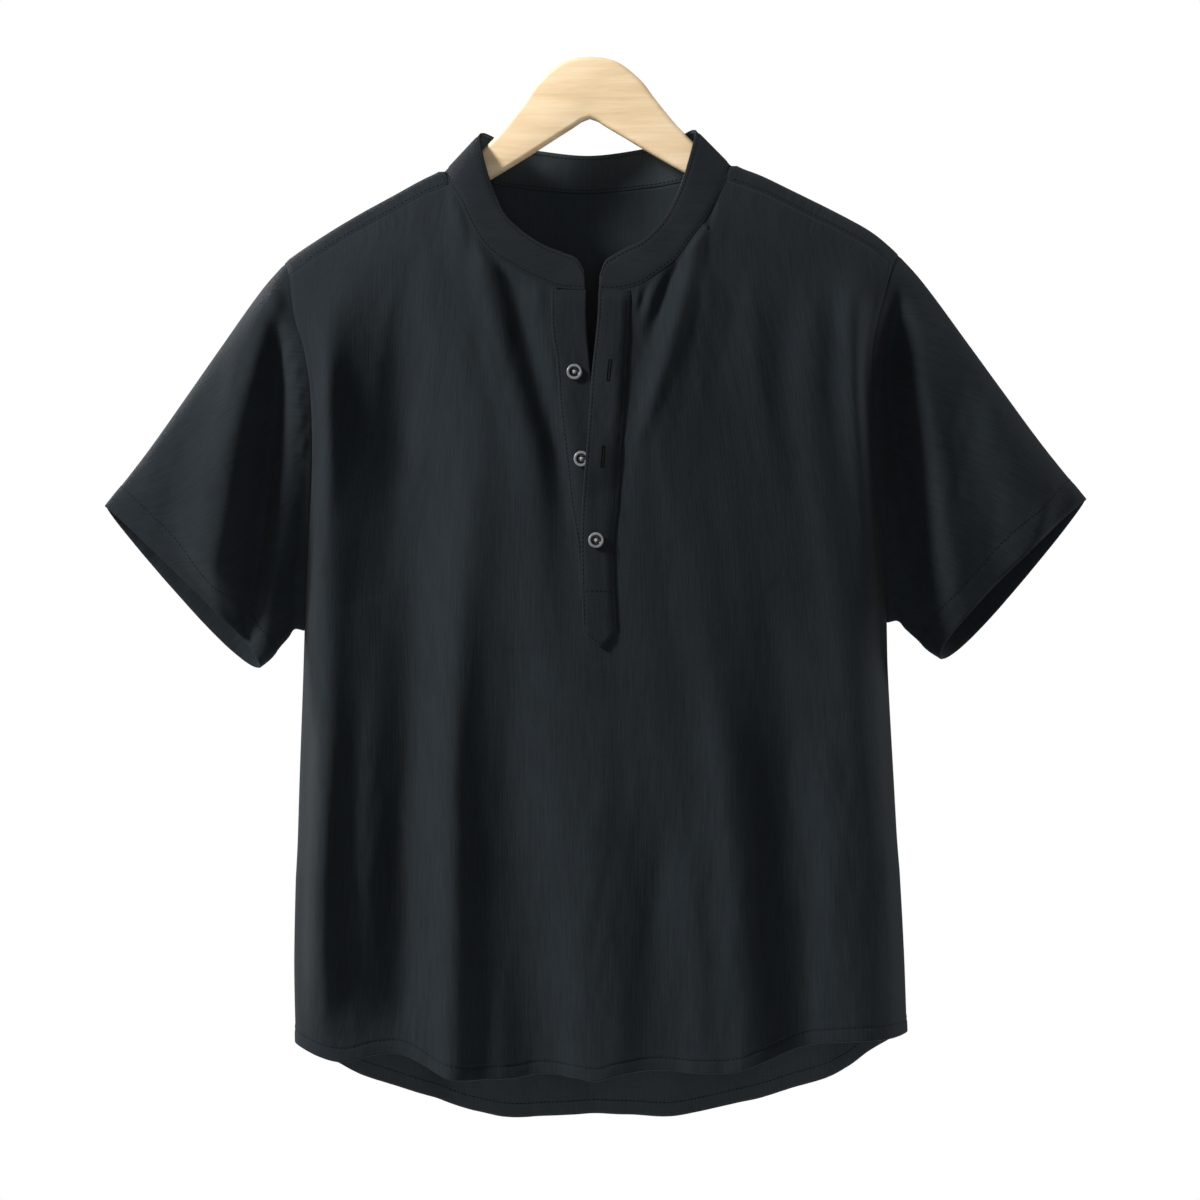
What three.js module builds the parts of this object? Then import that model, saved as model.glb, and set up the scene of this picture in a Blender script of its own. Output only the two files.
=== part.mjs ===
// A short-sleeved linen shirt with a mandarin collar, hanging on a flat wooden hanger.
// Millimetres, +Z up, the front looks along -Y. The origin is the top of the hanger's dome.
// Every cloth piece is a thin closed wall grown from a grid of points, and pieces that are
// sewn together use the same points along their seam, drawn back by half the seam's gap.
import * as THREE from "three";

const CLOTH_WALL = 1.2;
const BAND_WALL = 2.0;
const SEAM_GAP = 0.5;
const STEEPEST_MITRE = 0.34;
const LAYER_GAP = 0.7;
const BUTTON_GAP = 0.3;

const HANGER_THICKNESS = 10;
const HANGER_EDGE_ROUND = 4;
const HANGER_TILT = THREE.MathUtils.degToRad(0.9);
const HANGER_SHIFT = -0.8;

const BUTTON_DIAMETER = 11.4;
const BUTTON_THICKNESS = 2.4;
const BUTTON_SIDES = 20;

// The cloth bends over the hanger's arm on this radius and then falls outwards.
const FOLD_OVER_RADIUS = 10;
const FOLD_OVER_ANGLE = 0.95;
const FALL_LENGTH = 70;
const FRONT_DEPTH = 50;
const BACK_DEPTH = 44;
const SIDE_ROUNDNESS = 3;
// How far round its side the panel has turned where it meets a sleeve, 1 being all the way.
const ARMHOLE_TURN = 0.95;
const ARMHOLE_TURN_ROWS = 7;
// Shares of the panel's length over which it leaves the form of its upper seam, and over
// which its creases start.
const UPPER_SEAM_FADE = 0.14;
const CREASE_START = 0.09;
const CREASE_SIDE_FADE = 0.25;

// The armhole seam leaves the shoulder seam at this angle round the sleeve's oval.
const SEAM_ANGLE = 0.28;
const CUFF_SQUARENESS = 0.85;
const SLEEVE_PUFF = 36;
const SLEEVE_CREASE_START = 0.2;

const cloth = { color: 0x23282b, roughness: 0.92, metalness: 0 };
const bandCloth = { color: 0x22272a, roughness: 0.9, metalness: 0 };
const buttonPlastic = { color: 0x3a3f42, roughness: 0.35, metalness: 0 };
const beech = { color: 0xf0cfa2, roughness: 0.55, metalness: 0 };

const group = new THREE.Group();

function addMesh(name, geometry, look) {
  const mesh = new THREE.Mesh(geometry, new THREE.MeshStandardMaterial(look));
  mesh.name = name;
  group.add(mesh);
  return mesh;
}

function lerp(a, b, t) {
  return a + (b - a) * t;
}

function smooth(from, to, value) {
  return THREE.MathUtils.smoothstep(value, from, to);
}

// Reads a table with named columns at any place between its rows, along a smooth curve.
function read(table, column, at, value) {
  let row = 0;
  while (row < table.length - 2 && at > table[row + 1][column]) {
    row += 1;
  }
  const slope = (k) => {
    const before = table[Math.max(k - 1, 0)];
    const after = table[Math.min(k + 1, table.length - 1)];
    return (after[value] - before[value]) / (after[column] - before[column]);
  };
  const start = table[row];
  const end = table[row + 1];
  const span = end[column] - start[column];
  const t = THREE.MathUtils.clamp((at - start[column]) / span, 0, 1);
  const rise = t * t * (3 - 2 * t);
  const lean = slope(row) * span * t * (1 - t) ** 2 - slope(row + 1) * span * t * t * (1 - t);
  return lerp(start[value], end[value], rise) + lean;
}

function curveThrough(rows, closed) {
  const points = rows.map((row) => new THREE.Vector3(row.x, row.y, row.z));
  return new THREE.CatmullRomCurve3(points, closed, "catmullrom", 0.5);
}

// Ridge line of the shoulders, where the cloth turns over the hanger. Between the sides of
// the neck it is the line that the cloth would take if the neck were filled in.
const ridge = [
  { x: -232, z: -157 },
  { x: -212, z: -142.8 },
  { x: -180, z: -122.6 },
  { x: -145, z: -103.5 },
  { x: -124, z: -92.2 },
  { x: -106, z: -85 },
  { x: -80, z: -71 },
  { x: -40, z: -56 },
  { x: 0, z: -50 },
  { x: 40, z: -55 },
  { x: 77, z: -68 },
  { x: 103, z: -80.8 },
  { x: 127, z: -89.2 },
  { x: 148, z: -99.2 },
  { x: 193, z: -121.5 },
  { x: 214, z: -134 },
  { x: 233, z: -150.5 },
];

const ridgeHeight = (x) => read(ridge, "x", x, "z");
const turnLength = FOLD_OVER_RADIUS * FOLD_OVER_ANGLE;
const turnDrop = FOLD_OVER_RADIUS * (1 - Math.cos(FOLD_OVER_ANGLE));
const turnDepth = FOLD_OVER_RADIUS * Math.sin(FOLD_OVER_ANGLE);

// Drop below the ridge and distance from the middle plane, after a run of cloth.
function dropAfter(run) {
  if (run < turnLength) {
    return FOLD_OVER_RADIUS * (1 - Math.cos(run / FOLD_OVER_RADIUS));
  }
  return turnDrop + run - turnLength;
}

function depthAfter(run, fullDepth) {
  if (run < turnLength) {
    return FOLD_OVER_RADIUS * Math.sin(run / FOLD_OVER_RADIUS);
  }
  return turnDepth + fullDepth * (1 - Math.exp((turnLength - run) / FALL_LENGTH));
}

function runTo(x, z) {
  const drop = Math.max(ridgeHeight(x) - z, 0);
  if (drop < turnDrop) {
    return FOLD_OVER_RADIUS * Math.acos(1 - drop / FOLD_OVER_RADIUS);
  }
  return turnLength + drop - turnDrop;
}

// Creases. Each one follows a bent path seen from the front and pushes the cloth out by
// its height (in, where that is less than 0) over a soft strip of the given half width.
// It grows over the share "grow" of its path and dies over the share "die".
const frontFolds = [
  { x1: -199, z1: -230, x2: -199, z2: -340, x3: -209, z3: -660, wide: 18, high: 13, grow: 0.2, die: 0.2 },
  { x1: -156, z1: -180, x2: -114, z2: -400, x3: -154, z3: -745, wide: 28, high: -13, grow: 0.2, die: 0.05 },
  { x1: -103, z1: -350, x2: -98, z2: -560, x3: -99, z3: -770, wide: 17, high: 8, grow: 0.3, die: 0 },
  { x1: -74, z1: -400, x2: -62, z2: -590, x3: -42, z3: -765, wide: 20, high: -6, grow: 0.35, die: 0 },
  { x1: -4, z1: -490, x2: 6, z2: -620, x3: 8, z3: -765, wide: 24, high: 3.5, grow: 0.4, die: 0 },
  { x1: 44, z1: -530, x2: 48, z2: -650, x3: 50, z3: -765, wide: 18, high: -4, grow: 0.4, die: 0 },
  { x1: 98, z1: -440, x2: 104, z2: -600, x3: 116, z3: -765, wide: 17, high: 7, grow: 0.35, die: 0 },
  { x1: 134, z1: -420, x2: 146, z2: -600, x3: 160, z3: -760, wide: 22, high: -8, grow: 0.3, die: 0 },
  { x1: 188, z1: -320, x2: 194, z2: -520, x3: 200, z3: -740, wide: 24, high: 7, grow: 0.3, die: 0 },
  { x1: 190, z1: -160, x2: 194, z2: -240, x3: 202, z3: -390, wide: 14, high: 8, grow: 0.2, die: 0.3 },
  { x1: 74, z1: -158, x2: 52, z2: -238, x3: 30, z3: -338, wide: 9, high: 7, grow: 0.2, die: 0.3 },
  { x1: -84, z1: -146, x2: -54, z2: -262, x3: -14, z3: -380, wide: 13, high: 4.5, grow: 0.25, die: 0.35 },
  { x1: -66, z1: -146, x2: -34, z2: -262, x3: -2, z3: -384, wide: 10, high: -4.5, grow: 0.25, die: 0.35 },
  { x1: -104, z1: -112, x2: -94, z2: -140, x3: -76, z3: -180, wide: 8, high: 3, grow: 0.3, die: 0.5 },
];

const backFolds = [
  { x1: -168, z1: -260, x2: -160, z2: -500, x3: -172, z3: -770, wide: 22, high: -9, grow: 0.3, die: 0 },
  { x1: -112, z1: -330, x2: -116, z2: -560, x3: -104, z3: -795, wide: 18, high: 8, grow: 0.4, die: 0 },
  { x1: -54, z1: -400, x2: -50, z2: -600, x3: -58, z3: -800, wide: 18, high: -7, grow: 0.45, die: 0 },
  { x1: 6, z1: -360, x2: 2, z2: -600, x3: 4, z3: -805, wide: 22, high: 7, grow: 0.45, die: 0 },
  { x1: 62, z1: -420, x2: 66, z2: -610, x3: 60, z3: -800, wide: 17, high: -7, grow: 0.4, die: 0 },
  { x1: 120, z1: -330, x2: 122, z2: -560, x3: 112, z3: -795, wide: 19, high: 8, grow: 0.4, die: 0 },
  { x1: 174, z1: -270, x2: 172, z2: -500, x3: 180, z3: -770, wide: 20, high: -9, grow: 0.3, die: 0 },
];

const leftSleeveFolds = [
  { x1: -234, z1: -178, x2: -272, z2: -270, x3: -282, z3: -400, wide: 18, high: 9, grow: 0.2, die: 0.1 },
  { x1: -224, z1: -196, x2: -228, z2: -300, x3: -250, z3: -428, wide: 14, high: -8, grow: 0.2, die: 0 },
  { x1: -222, z1: -250, x2: -232, z2: -330, x3: -240, z3: -420, wide: 10, high: 3, grow: 0.3, die: 0.3 },
];

const rightSleeveFolds = [
  { x1: 206, z1: -166, x2: 222, z2: -270, x3: 240, z3: -430, wide: 15, high: -10, grow: 0.15, die: 0 },
  { x1: 232, z1: -200, x2: 252, z2: -300, x3: 264, z3: -430, wide: 15, high: 5, grow: 0.3, die: 0.1 },
  { x1: 258, z1: -210, x2: 288, z2: -300, x3: 304, z3: -392, wide: 17, high: -4.5, grow: 0.3, die: 0 },
];

const FOLD_STEPS = 16;

function foldHeight(folds, x, z) {
  let height = 0;
  for (const fold of folds) {
    let nearest = Infinity;
    let share = 0;
    for (let step = 0; step <= FOLD_STEPS; step += 1) {
      const t = step / FOLD_STEPS;
      const px = lerp(lerp(fold.x1, fold.x2, t), lerp(fold.x2, fold.x3, t), t);
      const pz = lerp(lerp(fold.z1, fold.z2, t), lerp(fold.z2, fold.z3, t), t);
      const distance = Math.hypot(x - px, 0.35 * (z - pz));
      if (distance < nearest) {
        nearest = distance;
        share = t;
      }
    }
    const strength = smooth(0, Math.max(fold.grow, 0.001), share)
      * (1 - smooth(1 - fold.die, 1.001, share));
    height += fold.high * strength * Math.exp(-((nearest / fold.wide) ** 2));
  }
  return height;
}

// A closed wall from a grid of points. "cut" names the cells that are left open, and
// "round" joins the last column to the first. Points go row by row, and a row runs so
// that rows down and columns to the right show the wall's outer side.
class Sheet {
  constructor(name, rows, wall, options = {}) {
    this.name = name;
    this.rows = rows;
    this.wall = wall;
    this.round = options.round ?? false;
    this.cut = options.cut ?? (() => false);
    this.columns = rows[0].length;
    this.cells = [];
    const last = this.round ? this.columns : this.columns - 1;
    for (let i = 0; i < rows.length - 1; i += 1) {
      for (let j = 0; j < last; j += 1) {
        if (!this.cut(i, j)) {
          const k = (j + 1) % this.columns;
          this.cells.push([[i, j], [i + 1, j], [i + 1, k], [i, k]].map(([r, c]) => r * this.columns + c));
        }
      }
    }
    this.normals = new Map();
    this.inward = new Map();
    for (const cell of this.cells) {
      const corners = cell.map((index) => this.point(index));
      const middle = corners.reduce((sum, p) => sum.add(p), new THREE.Vector3()).divideScalar(4);
      const facing = new THREE.Vector3().crossVectors(
        corners[2].clone().sub(corners[0]),
        corners[3].clone().sub(corners[1]),
      );
      for (const index of cell) {
        const normal = this.normals.get(index) ?? new THREE.Vector3();
        this.normals.set(index, normal.add(facing));
        const inward = this.inward.get(index) ?? new THREE.Vector3();
        this.inward.set(index, inward.add(middle.clone().sub(this.point(index))));
      }
    }
    for (const normal of this.normals.values()) {
      normal.normalize();
    }
    this.borders = [];
    const sides = new Map();
    for (const cell of this.cells) {
      cell.forEach((from, corner) => sides.set(`${from},${cell[(corner + 1) % 4]}`, true));
    }
    for (const side of sides.keys()) {
      const [from, to] = side.split(",").map(Number);
      if (!sides.has(`${to},${from}`)) {
        this.borders.push([from, to]);
      }
    }
    this.along = new Map();
    for (const [from, to] of this.borders) {
      const edge = this.point(to).clone().sub(this.point(from)).normalize();
      for (const index of [from, to]) {
        this.along.set(index, (this.along.get(index) ?? new THREE.Vector3()).add(edge));
      }
    }
  }

  point(index) {
    return this.rows[Math.floor(index / this.columns)][index % this.columns];
  }

  // Outer and inner skins, closed by a rim along every border. Where another sheet has
  // the same border point, both use the seam's own direction and stand back from it.
  geometry(seams) {
    const used = [...this.normals.keys()];
    const place = new Map(used.map((index, order) => [index, order]));
    const onBorder = new Set(this.borders.flat());
    const outer = [];
    const inner = [];
    for (const index of used) {
      const point = this.point(index).clone();
      const own = this.normals.get(index);
      const shared = onBorder.has(index) ? seams.get(keyOf(point)) : undefined;
      const across = own.clone();
      let reach = this.wall / 2;
      if (shared && shared.count > 1) {
        across.copy(shared.normal).normalize();
        reach /= Math.max(across.dot(own), STEEPEST_MITRE);
        const back = new THREE.Vector3().crossVectors(across, this.along.get(index)).normalize();
        back.multiplyScalar(Math.sign(back.dot(this.inward.get(index))));
        point.addScaledVector(back, SEAM_GAP / 2);
      }
      outer.push(point.clone().addScaledVector(across, reach));
      inner.push(point.clone().addScaledVector(across, -reach));
    }
    const corners = [...outer, ...inner].flatMap((p) => [p.x, p.y, p.z]);
    const below = used.length;
    const faces = [];
    for (const cell of this.cells) {
      const [p, q, r, s] = cell.map((index) => this.point(index));
      const turn = p.distanceTo(r) > q.distanceTo(s) ? 1 : 0;
      const corner = (k) => place.get(cell[(k + turn) % 4]);
      const [a, b, c, d] = [corner(0), corner(1), corner(2), corner(3)];
      faces.push(a, b, c, a, c, d);
      faces.push(below + a, below + c, below + b, below + a, below + d, below + c);
    }
    for (const [from, to] of this.borders) {
      const a = place.get(from);
      const b = place.get(to);
      // Both sides of a seam split their rim along the same diagonal.
      if (keyOf(this.point(from)) < keyOf(this.point(to))) {
        faces.push(a, below + a, below + b, a, below + b, b);
      } else {
        faces.push(a, below + a, b, below + a, below + b, b);
      }
    }
    const geometry = new THREE.BufferGeometry();
    geometry.setAttribute("position", new THREE.Float32BufferAttribute(corners, 3));
    geometry.setIndex(faces);
    geometry.computeVertexNormals();
    return geometry;
  }
}

function keyOf(point) {
  return [point.x, point.y, point.z].map((value) => value.toFixed(2)).join(" ");
}

function collectSeams(sheets) {
  const seams = new Map();
  for (const sheet of sheets) {
    for (const index of new Set(sheet.borders.flat())) {
      const key = keyOf(sheet.point(index));
      const seam = seams.get(key) ?? { normal: new THREE.Vector3(), count: 0 };
      seam.normal.add(sheet.normals.get(index));
      seam.count += 1;
      seams.set(key, seam);
    }
  }
  return seams;
}

// Collar stations, from the left front end round the back to the right front end. The
// base is sewn to the body and the top is the free edge.
const collarStations = [
  { base: [-3.5, -49.5, -180.3], top: [-4.5, -45.5, -166] },
  { base: [-10, -49.5, -180.0], top: [-9.5, -43, -157.5] },
  { base: [-23.4, -49, -178.6], top: [-20, -41, -152.8] },
  { base: [-38, -48, -172.8], top: [-34.5, -39.5, -146.6] },
  { base: [-58.6, -45.4, -161.9], top: [-49.2, -36, -136.5] },
  { base: [-74.6, -41.7, -150.2], top: [-61.9, -31, -124.2] },
  { base: [-86.3, -35.7, -133.6], top: [-68.7, -25, -111] },
  { base: [-96, -26, -113], top: [-76, -18.5, -92] },
  { base: [-104.6, -14.4, -98], top: [-81.5, -11, -70] },
  { base: [-107.5, 0.5, -85.8], top: [-81.4, 1, -57.6] },
  { base: [-92, 12.8, -88.5], top: [-70, 13, -60] },
  { base: [-66, 21.5, -93], top: [-56, 19.5, -64.2] },
  { base: [-36, 27.5, -96], top: [-37, 26, -67.2] },
  { base: [0, 29.5, -97.7], top: [0, 28.5, -70.2] },
  { base: [43, 27, -94.2], top: [38.5, 26, -65.8] },
  { base: [66.5, 21.5, -90.9], top: [57, 19.5, -61.6] },
  { base: [90, 13, -86], top: [68, 13, -58] },
  { base: [104.8, 0.5, -81.9], top: [78.6, 1, -55.2] },
  { base: [100.8, -14, -94.2], top: [77.3, -11, -67.5] },
  { base: [90.5, -26, -118.3], top: [70.5, -19, -92] },
  { base: [77.2, -36.5, -137.4], top: [60.5, -27, -116.8] },
  { base: [62.6, -43, -157.4], top: [50.2, -34.5, -132.5] },
  { base: [48, -47, -169.1], top: [38.7, -39, -143.4] },
  { base: [36.5, -48.6, -176.4], top: [28, -40.5, -148.6] },
  { base: [25.5, -49.2, -179.6], top: [18.5, -41.5, -153.8] },
  { base: [15, -49.5, -180.9], top: [12, -43, -158.8] },
  { base: [7.5, -49.6, -181.1], top: [8, -46, -169] },
];

const LEFT_SLOT_STATION = 2;
const LEFT_SEAM_STATION = 8;
const RIGHT_SEAM_STATION = 18;
const RIGHT_SLOT_STATION = 24;
const lastStation = collarStations.length - 1;
const neckLine = curveThrough(collarStations.map(({ base: [x, y, z] }) => ({ x, y, z })), false);
const collarEdge = curveThrough(collarStations.map(({ top: [x, y, z] }) => ({ x, y, z })), false);

// Armholes. Row 0 is the end of the forward shoulder seam, then the seam runs down the
// front to the armpit in row 6, up the back, and over the shoulder's point in row 12.
const ARMPIT_ROW = 6;
const leftArmhole = [
  { x: -223.5, y: -14, z: -166 },
  { x: -219, y: -24, z: -196 },
  { x: -211, y: -30, z: -222 },
  { x: -206, y: -32, z: -255 },
  { x: -205, y: -28, z: -304 },
  { x: -209, y: -16, z: -366 },
  { x: -213.5, y: 0, z: -430 },
  { x: -210, y: 20, z: -366 },
  { x: -209, y: 32, z: -300 },
  { x: -213, y: 34, z: -244 },
  { x: -220, y: 27, z: -200 },
  { x: -226, y: 13.5, z: -168 },
  { x: -228.5, y: 0, z: -155.6 },
];

const rightArmhole = [
  { x: 225, y: -14, z: -158.5 },
  { x: 216, y: -23, z: -187 },
  { x: 209, y: -27, z: -220 },
  { x: 208, y: -27, z: -257 },
  { x: 212, y: -23, z: -306 },
  { x: 218, y: -13, z: -366 },
  { x: 222, y: 0, z: -424 },
  { x: 219, y: 20, z: -364 },
  { x: 216, y: 32, z: -298 },
  { x: 217, y: 34, z: -240 },
  { x: 223, y: 27, z: -195 },
  { x: 228, y: 13.5, z: -162 },
  { x: 230.5, y: 0, z: -148.8 },
];

const sideSeams = [
  { drop: 0, left: -213.5, right: 222, leftZ: -430, rightZ: -424 },
  { drop: 0.12, left: -214.6, right: 222.8, leftZ: -466, rightZ: -460 },
  { drop: 0.45, left: -217.8, right: 228, leftZ: -560, rightZ: -556 },
  { drop: 0.8, left: -220.5, right: 234, leftZ: -672, rightZ: -666 },
  { drop: 1, left: -219.5, right: 236.3, leftZ: -736, rightZ: -728.5 },
];

// Hem heights from side to side, the back longer than the front.
const frontHem = [
  { x: -220, z: -736 },
  { x: -183, z: -746 },
  { x: -158, z: -741 },
  { x: -138, z: -741.5 },
  { x: -104, z: -755 },
  { x: -62, z: -756.5 },
  { x: -40, z: -753.5 },
  { x: 7, z: -757 },
  { x: 55, z: -750 },
  { x: 90, z: -751.5 },
  { x: 112, z: -750.5 },
  { x: 134, z: -743 },
  { x: 171, z: -731.5 },
  { x: 236.5, z: -728.5 },
];

const backHem = [
  { x: -220, z: -735.5 },
  { x: -210, z: -746 },
  { x: -195, z: -757 },
  { x: -150, z: -778 },
  { x: -122, z: -789.5 },
  { x: -104, z: -797.5 },
  { x: -80, z: -801.5 },
  { x: 0, z: -804 },
  { x: 60, z: -802 },
  { x: 90, z: -799.5 },
  { x: 117, z: -795 },
  { x: 160, z: -778.5 },
  { x: 196, z: -762.5 },
  { x: 214, z: -749.5 },
  { x: 229, z: -738.5 },
  { x: 236.5, z: -729 },
];

// Where the panel is cut away between the two placket strips.
const slot = [
  { z: -591, left: -6.5, right: 16.5 },
  { z: -440, left: -4.4, right: 15.4 },
  { z: -398, left: -4.2, right: 14.8 },
  { z: -352, left: -7.4, right: 15 },
  { z: -305, left: -13, right: 17.8 },
  { z: -259, left: -18.6, right: 20.6 },
  { z: -213, left: -23.3, right: 24 },
  { z: -180, left: -23.4, right: 25.5 },
];
const SLOT_END = -409;

const SHOULDER_CELLS = 6;
const NECK_CELLS = 9;
const BACK_NECK_CELLS = 16;
const ARMHOLE_CELLS = 12;
const BACK_ARMHOLE_CELLS = 14;
const SIDE_CELLS = 13;
const frontColumns = 2 * (SHOULDER_CELLS + NECK_CELLS + 1);
const backColumns = 2 * SHOULDER_CELLS + BACK_NECK_CELLS;

// Points of a run of cells between two rows of a curve's table. Rows below 0 count back
// from the end of a closed curve.
function stretch(curve, spans, from, to, cells) {
  const points = [];
  for (let k = 0; k <= cells; k += 1) {
    points.push(curve.getPoint((lerp(from, to, k / cells) / spans + 1) % 1));
  }
  return points;
}

const leftRing = curveThrough(leftArmhole, true);
const rightRing = curveThrough(rightArmhole, true);
const ringRows = leftArmhole.length;
const frontOfLeft = stretch(leftRing, ringRows, 0, ARMPIT_ROW, ARMHOLE_CELLS);
const frontOfRight = stretch(rightRing, ringRows, 0, ARMPIT_ROW, ARMHOLE_CELLS);
const backOfLeft = stretch(leftRing, ringRows, 0, ARMPIT_ROW - ringRows, BACK_ARMHOLE_CELLS);
const backOfRight = stretch(rightRing, ringRows, 0, ARMPIT_ROW - ringRows, BACK_ARMHOLE_CELLS);

function sideSeam(side) {
  const points = [];
  for (let k = 1; k <= SIDE_CELLS; k += 1) {
    const drop = k / SIDE_CELLS;
    const x = read(sideSeams, "drop", drop, side);
    const z = read(sideSeams, "drop", drop, `${side}Z`);
    points.push(new THREE.Vector3(x, 0, z));
  }
  return points;
}

const leftSide = sideSeam("left");
const rightSide = sideSeam("right");

// The forward shoulder seam, drawn over the body's form from the neck to the armhole.
function shoulderSeam(station, tip) {
  const start = neckLine.getPoint(station / lastStation);
  const startRun = runTo(start.x, start.z);
  const endRun = runTo(tip.x, tip.z);
  const points = [];
  for (let k = 0; k <= SHOULDER_CELLS; k += 1) {
    const t = k / SHOULDER_CELLS;
    const x = lerp(start.x, tip.x, t);
    const run = lerp(startRun, endRun, t);
    const formed = -depthAfter(run, FRONT_DEPTH);
    const startError = start.y + depthAfter(startRun, FRONT_DEPTH);
    const endError = tip.y + depthAfter(endRun, FRONT_DEPTH);
    const y = formed + lerp(startError, endError, t);
    points.push(new THREE.Vector3(x, y, ridgeHeight(x) - dropAfter(run)));
  }
  points[0].copy(start);
  points[SHOULDER_CELLS].copy(tip);
  return points;
}

const leftShoulder = shoulderSeam(LEFT_SEAM_STATION, frontOfLeft[0]);
const rightShoulder = shoulderSeam(RIGHT_SEAM_STATION, frontOfRight[0]);
const leftNeck = stretch(neckLine, lastStation, LEFT_SEAM_STATION, LEFT_SLOT_STATION, NECK_CELLS);
const rightNeck = stretch(neckLine, lastStation, RIGHT_SLOT_STATION, RIGHT_SEAM_STATION, NECK_CELLS);
const backNeck = stretch(neckLine, lastStation, LEFT_SEAM_STATION, RIGHT_SEAM_STATION, BACK_NECK_CELLS);

// A body panel between its seams. Its places across and down are blended from the four
// edges, its depth follows the fall of the cloth from the ridge, and its sides turn in.
function bodyPanel({ top, left, right, hem, columns, face, fullDepth, folds, widen }) {
  const rowCount = left.length;
  const share = (j) => (1 + Math.sin(Math.PI * (j / columns - 0.5))) / 2;
  const flat = (p) => ({ x: p.x, run: Math.sign(p.y * face) * runTo(p.x, p.z), y: p.y });
  const armpit = rowCount - 1 - SIDE_CELLS;
  const leftFlat = left.map(flat);
  const rightFlat = right.map(flat);
  const topFlat = top.map(flat);
  for (let i = armpit - 2; i < rowCount; i += 1) {
    leftFlat[i].run = runTo(left[i].x, left[i].z);
    rightFlat[i].run = runTo(right[i].x, right[i].z);
  }
  const length = (edge, i) => {
    let sum = 0;
    for (let k = 1; k <= i; k += 1) {
      sum += edge[k].distanceTo(edge[k - 1]);
    }
    return sum;
  };
  const whole = length(left, rowCount - 1);
  const rows = [];
  for (let i = 0; i < rowCount; i += 1) {
    const v = length(left, i) / whole;
    const a = leftFlat[i];
    const b = rightFlat[i];
    const turning = smooth(armpit - ARMHOLE_TURN_ROWS, armpit + ARMHOLE_TURN_ROWS + 1, i);
    const turned = lerp(ARMHOLE_TURN, 1, turning);
    const rounded = (u) => (1 - Math.abs(u * turned) ** SIDE_ROUNDNESS) ** (1 / SIDE_ROUNDNESS);
    const rest = rounded(1);
    const row = [];
    for (let j = 0; j <= columns; j += 1) {
      const u = share(j);
      const hemX = lerp(left[rowCount - 1].x, right[rowCount - 1].x, u);
      const hemRun = runTo(hemX, read(hem, "x", hemX, "z"));
      const blend = (t, h, l, r, key) => (1 - v) * t + v * h + (1 - u) * l + u * r
        - (1 - v) * lerp(topFlat[0][key], topFlat[columns][key], u)
        - v * lerp(leftFlat[rowCount - 1][key], rightFlat[rowCount - 1][key], u);
      let x = blend(topFlat[j].x, hemX, a.x, b.x, "x");
      const run = blend(topFlat[j].run, hemRun, a.run, b.run, "run");
      const z = ridgeHeight(x) - dropAfter(Math.abs(run));
      x = widen(x, z, j, i);
      const toSide = THREE.MathUtils.clamp((2 * (x - a.x)) / (b.x - a.x) - 1, -1, 1);
      const hold = (rounded(toSide) - rest) / (1 - rest);
      const formed = face * Math.sign(run) * depthAfter(Math.abs(run), fullDepth);
      const edge = lerp(a.y, b.y, u);
      const onTop = face * Math.sign(topFlat[j].run) * depthAfter(Math.abs(topFlat[j].run), fullDepth);
      const topError = top[j].y - lerp(lerp(top[0].y, top[columns].y, u), onTop, hold);
      const topRest = (1 - smooth(0, UPPER_SEAM_FADE, v)) * topError;
      const nearSeam = smooth(0, CREASE_START, v) * smooth(0, CREASE_SIDE_FADE, 1 - toSide ** 4);
      const crease = face * nearSeam * foldHeight(folds, x, z);
      row.push(new THREE.Vector3(x, lerp(edge, formed, hold) + topRest + crease, z));
    }
    row[0].copy(left[i]);
    row[columns].copy(right[i]);
    rows.push(row);
  }
  top.forEach((point, j) => rows[0][j].copy(point));
  return rows;
}

const middle = frontColumns / 2;

// The columns beside the placket follow the edges of its slot.
function followSlot(x, z, j, i) {
  if (i === 0) {
    return x;
  }
  const away = Math.abs(j - middle) - 1;
  const fade = Math.max(0, 1 - Math.max(away, 0) / (NECK_CELLS - 1));
  const left = read(slot, "z", z, "left");
  const right = read(slot, "z", z, "right");
  const line = j === middle ? (left + right) / 2 : j < middle ? left : right;
  const own = slotDrift.get(`${i},${Math.sign(j - middle)}`) ?? 0;
  return away <= 0 ? line : x + fade * own;
}

const slotDrift = new Map();
const frontPlan = {
  top: [
    ...leftShoulder.slice().reverse(),
    ...leftNeck.slice(1),
    leftNeck[NECK_CELLS].clone().lerp(rightNeck[0], 0.5),
    ...rightNeck,
    ...rightShoulder.slice(1),
  ],
  left: [...frontOfLeft, ...leftSide],
  right: [...frontOfRight, ...rightSide],
  hem: frontHem,
  columns: frontColumns,
  face: -1,
  fullDepth: FRONT_DEPTH,
  folds: frontFolds,
};
const plainFront = bodyPanel({ ...frontPlan, widen: (x) => x });
plainFront.forEach((row, i) => {
  const left = row[middle - 1];
  const right = row[middle + 1];
  slotDrift.set(`${i},-1`, read(slot, "z", left.z, "left") - left.x);
  slotDrift.set(`${i},1`, read(slot, "z", right.z, "right") - right.x);
});
const frontRows = bodyPanel({ ...frontPlan, widen: followSlot });
const slotCells = frontRows.findIndex((row) => row[middle].z < SLOT_END);

const backRows = bodyPanel({
  top: [...leftShoulder.slice().reverse(), ...backNeck.slice(1, -1), ...rightShoulder],
  left: [...backOfLeft, ...leftSide],
  right: [...backOfRight, ...rightSide],
  hem: backHem,
  columns: backColumns,
  face: 1,
  fullDepth: BACK_DEPTH,
  folds: backFolds,
  widen: (x) => x,
});

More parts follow.
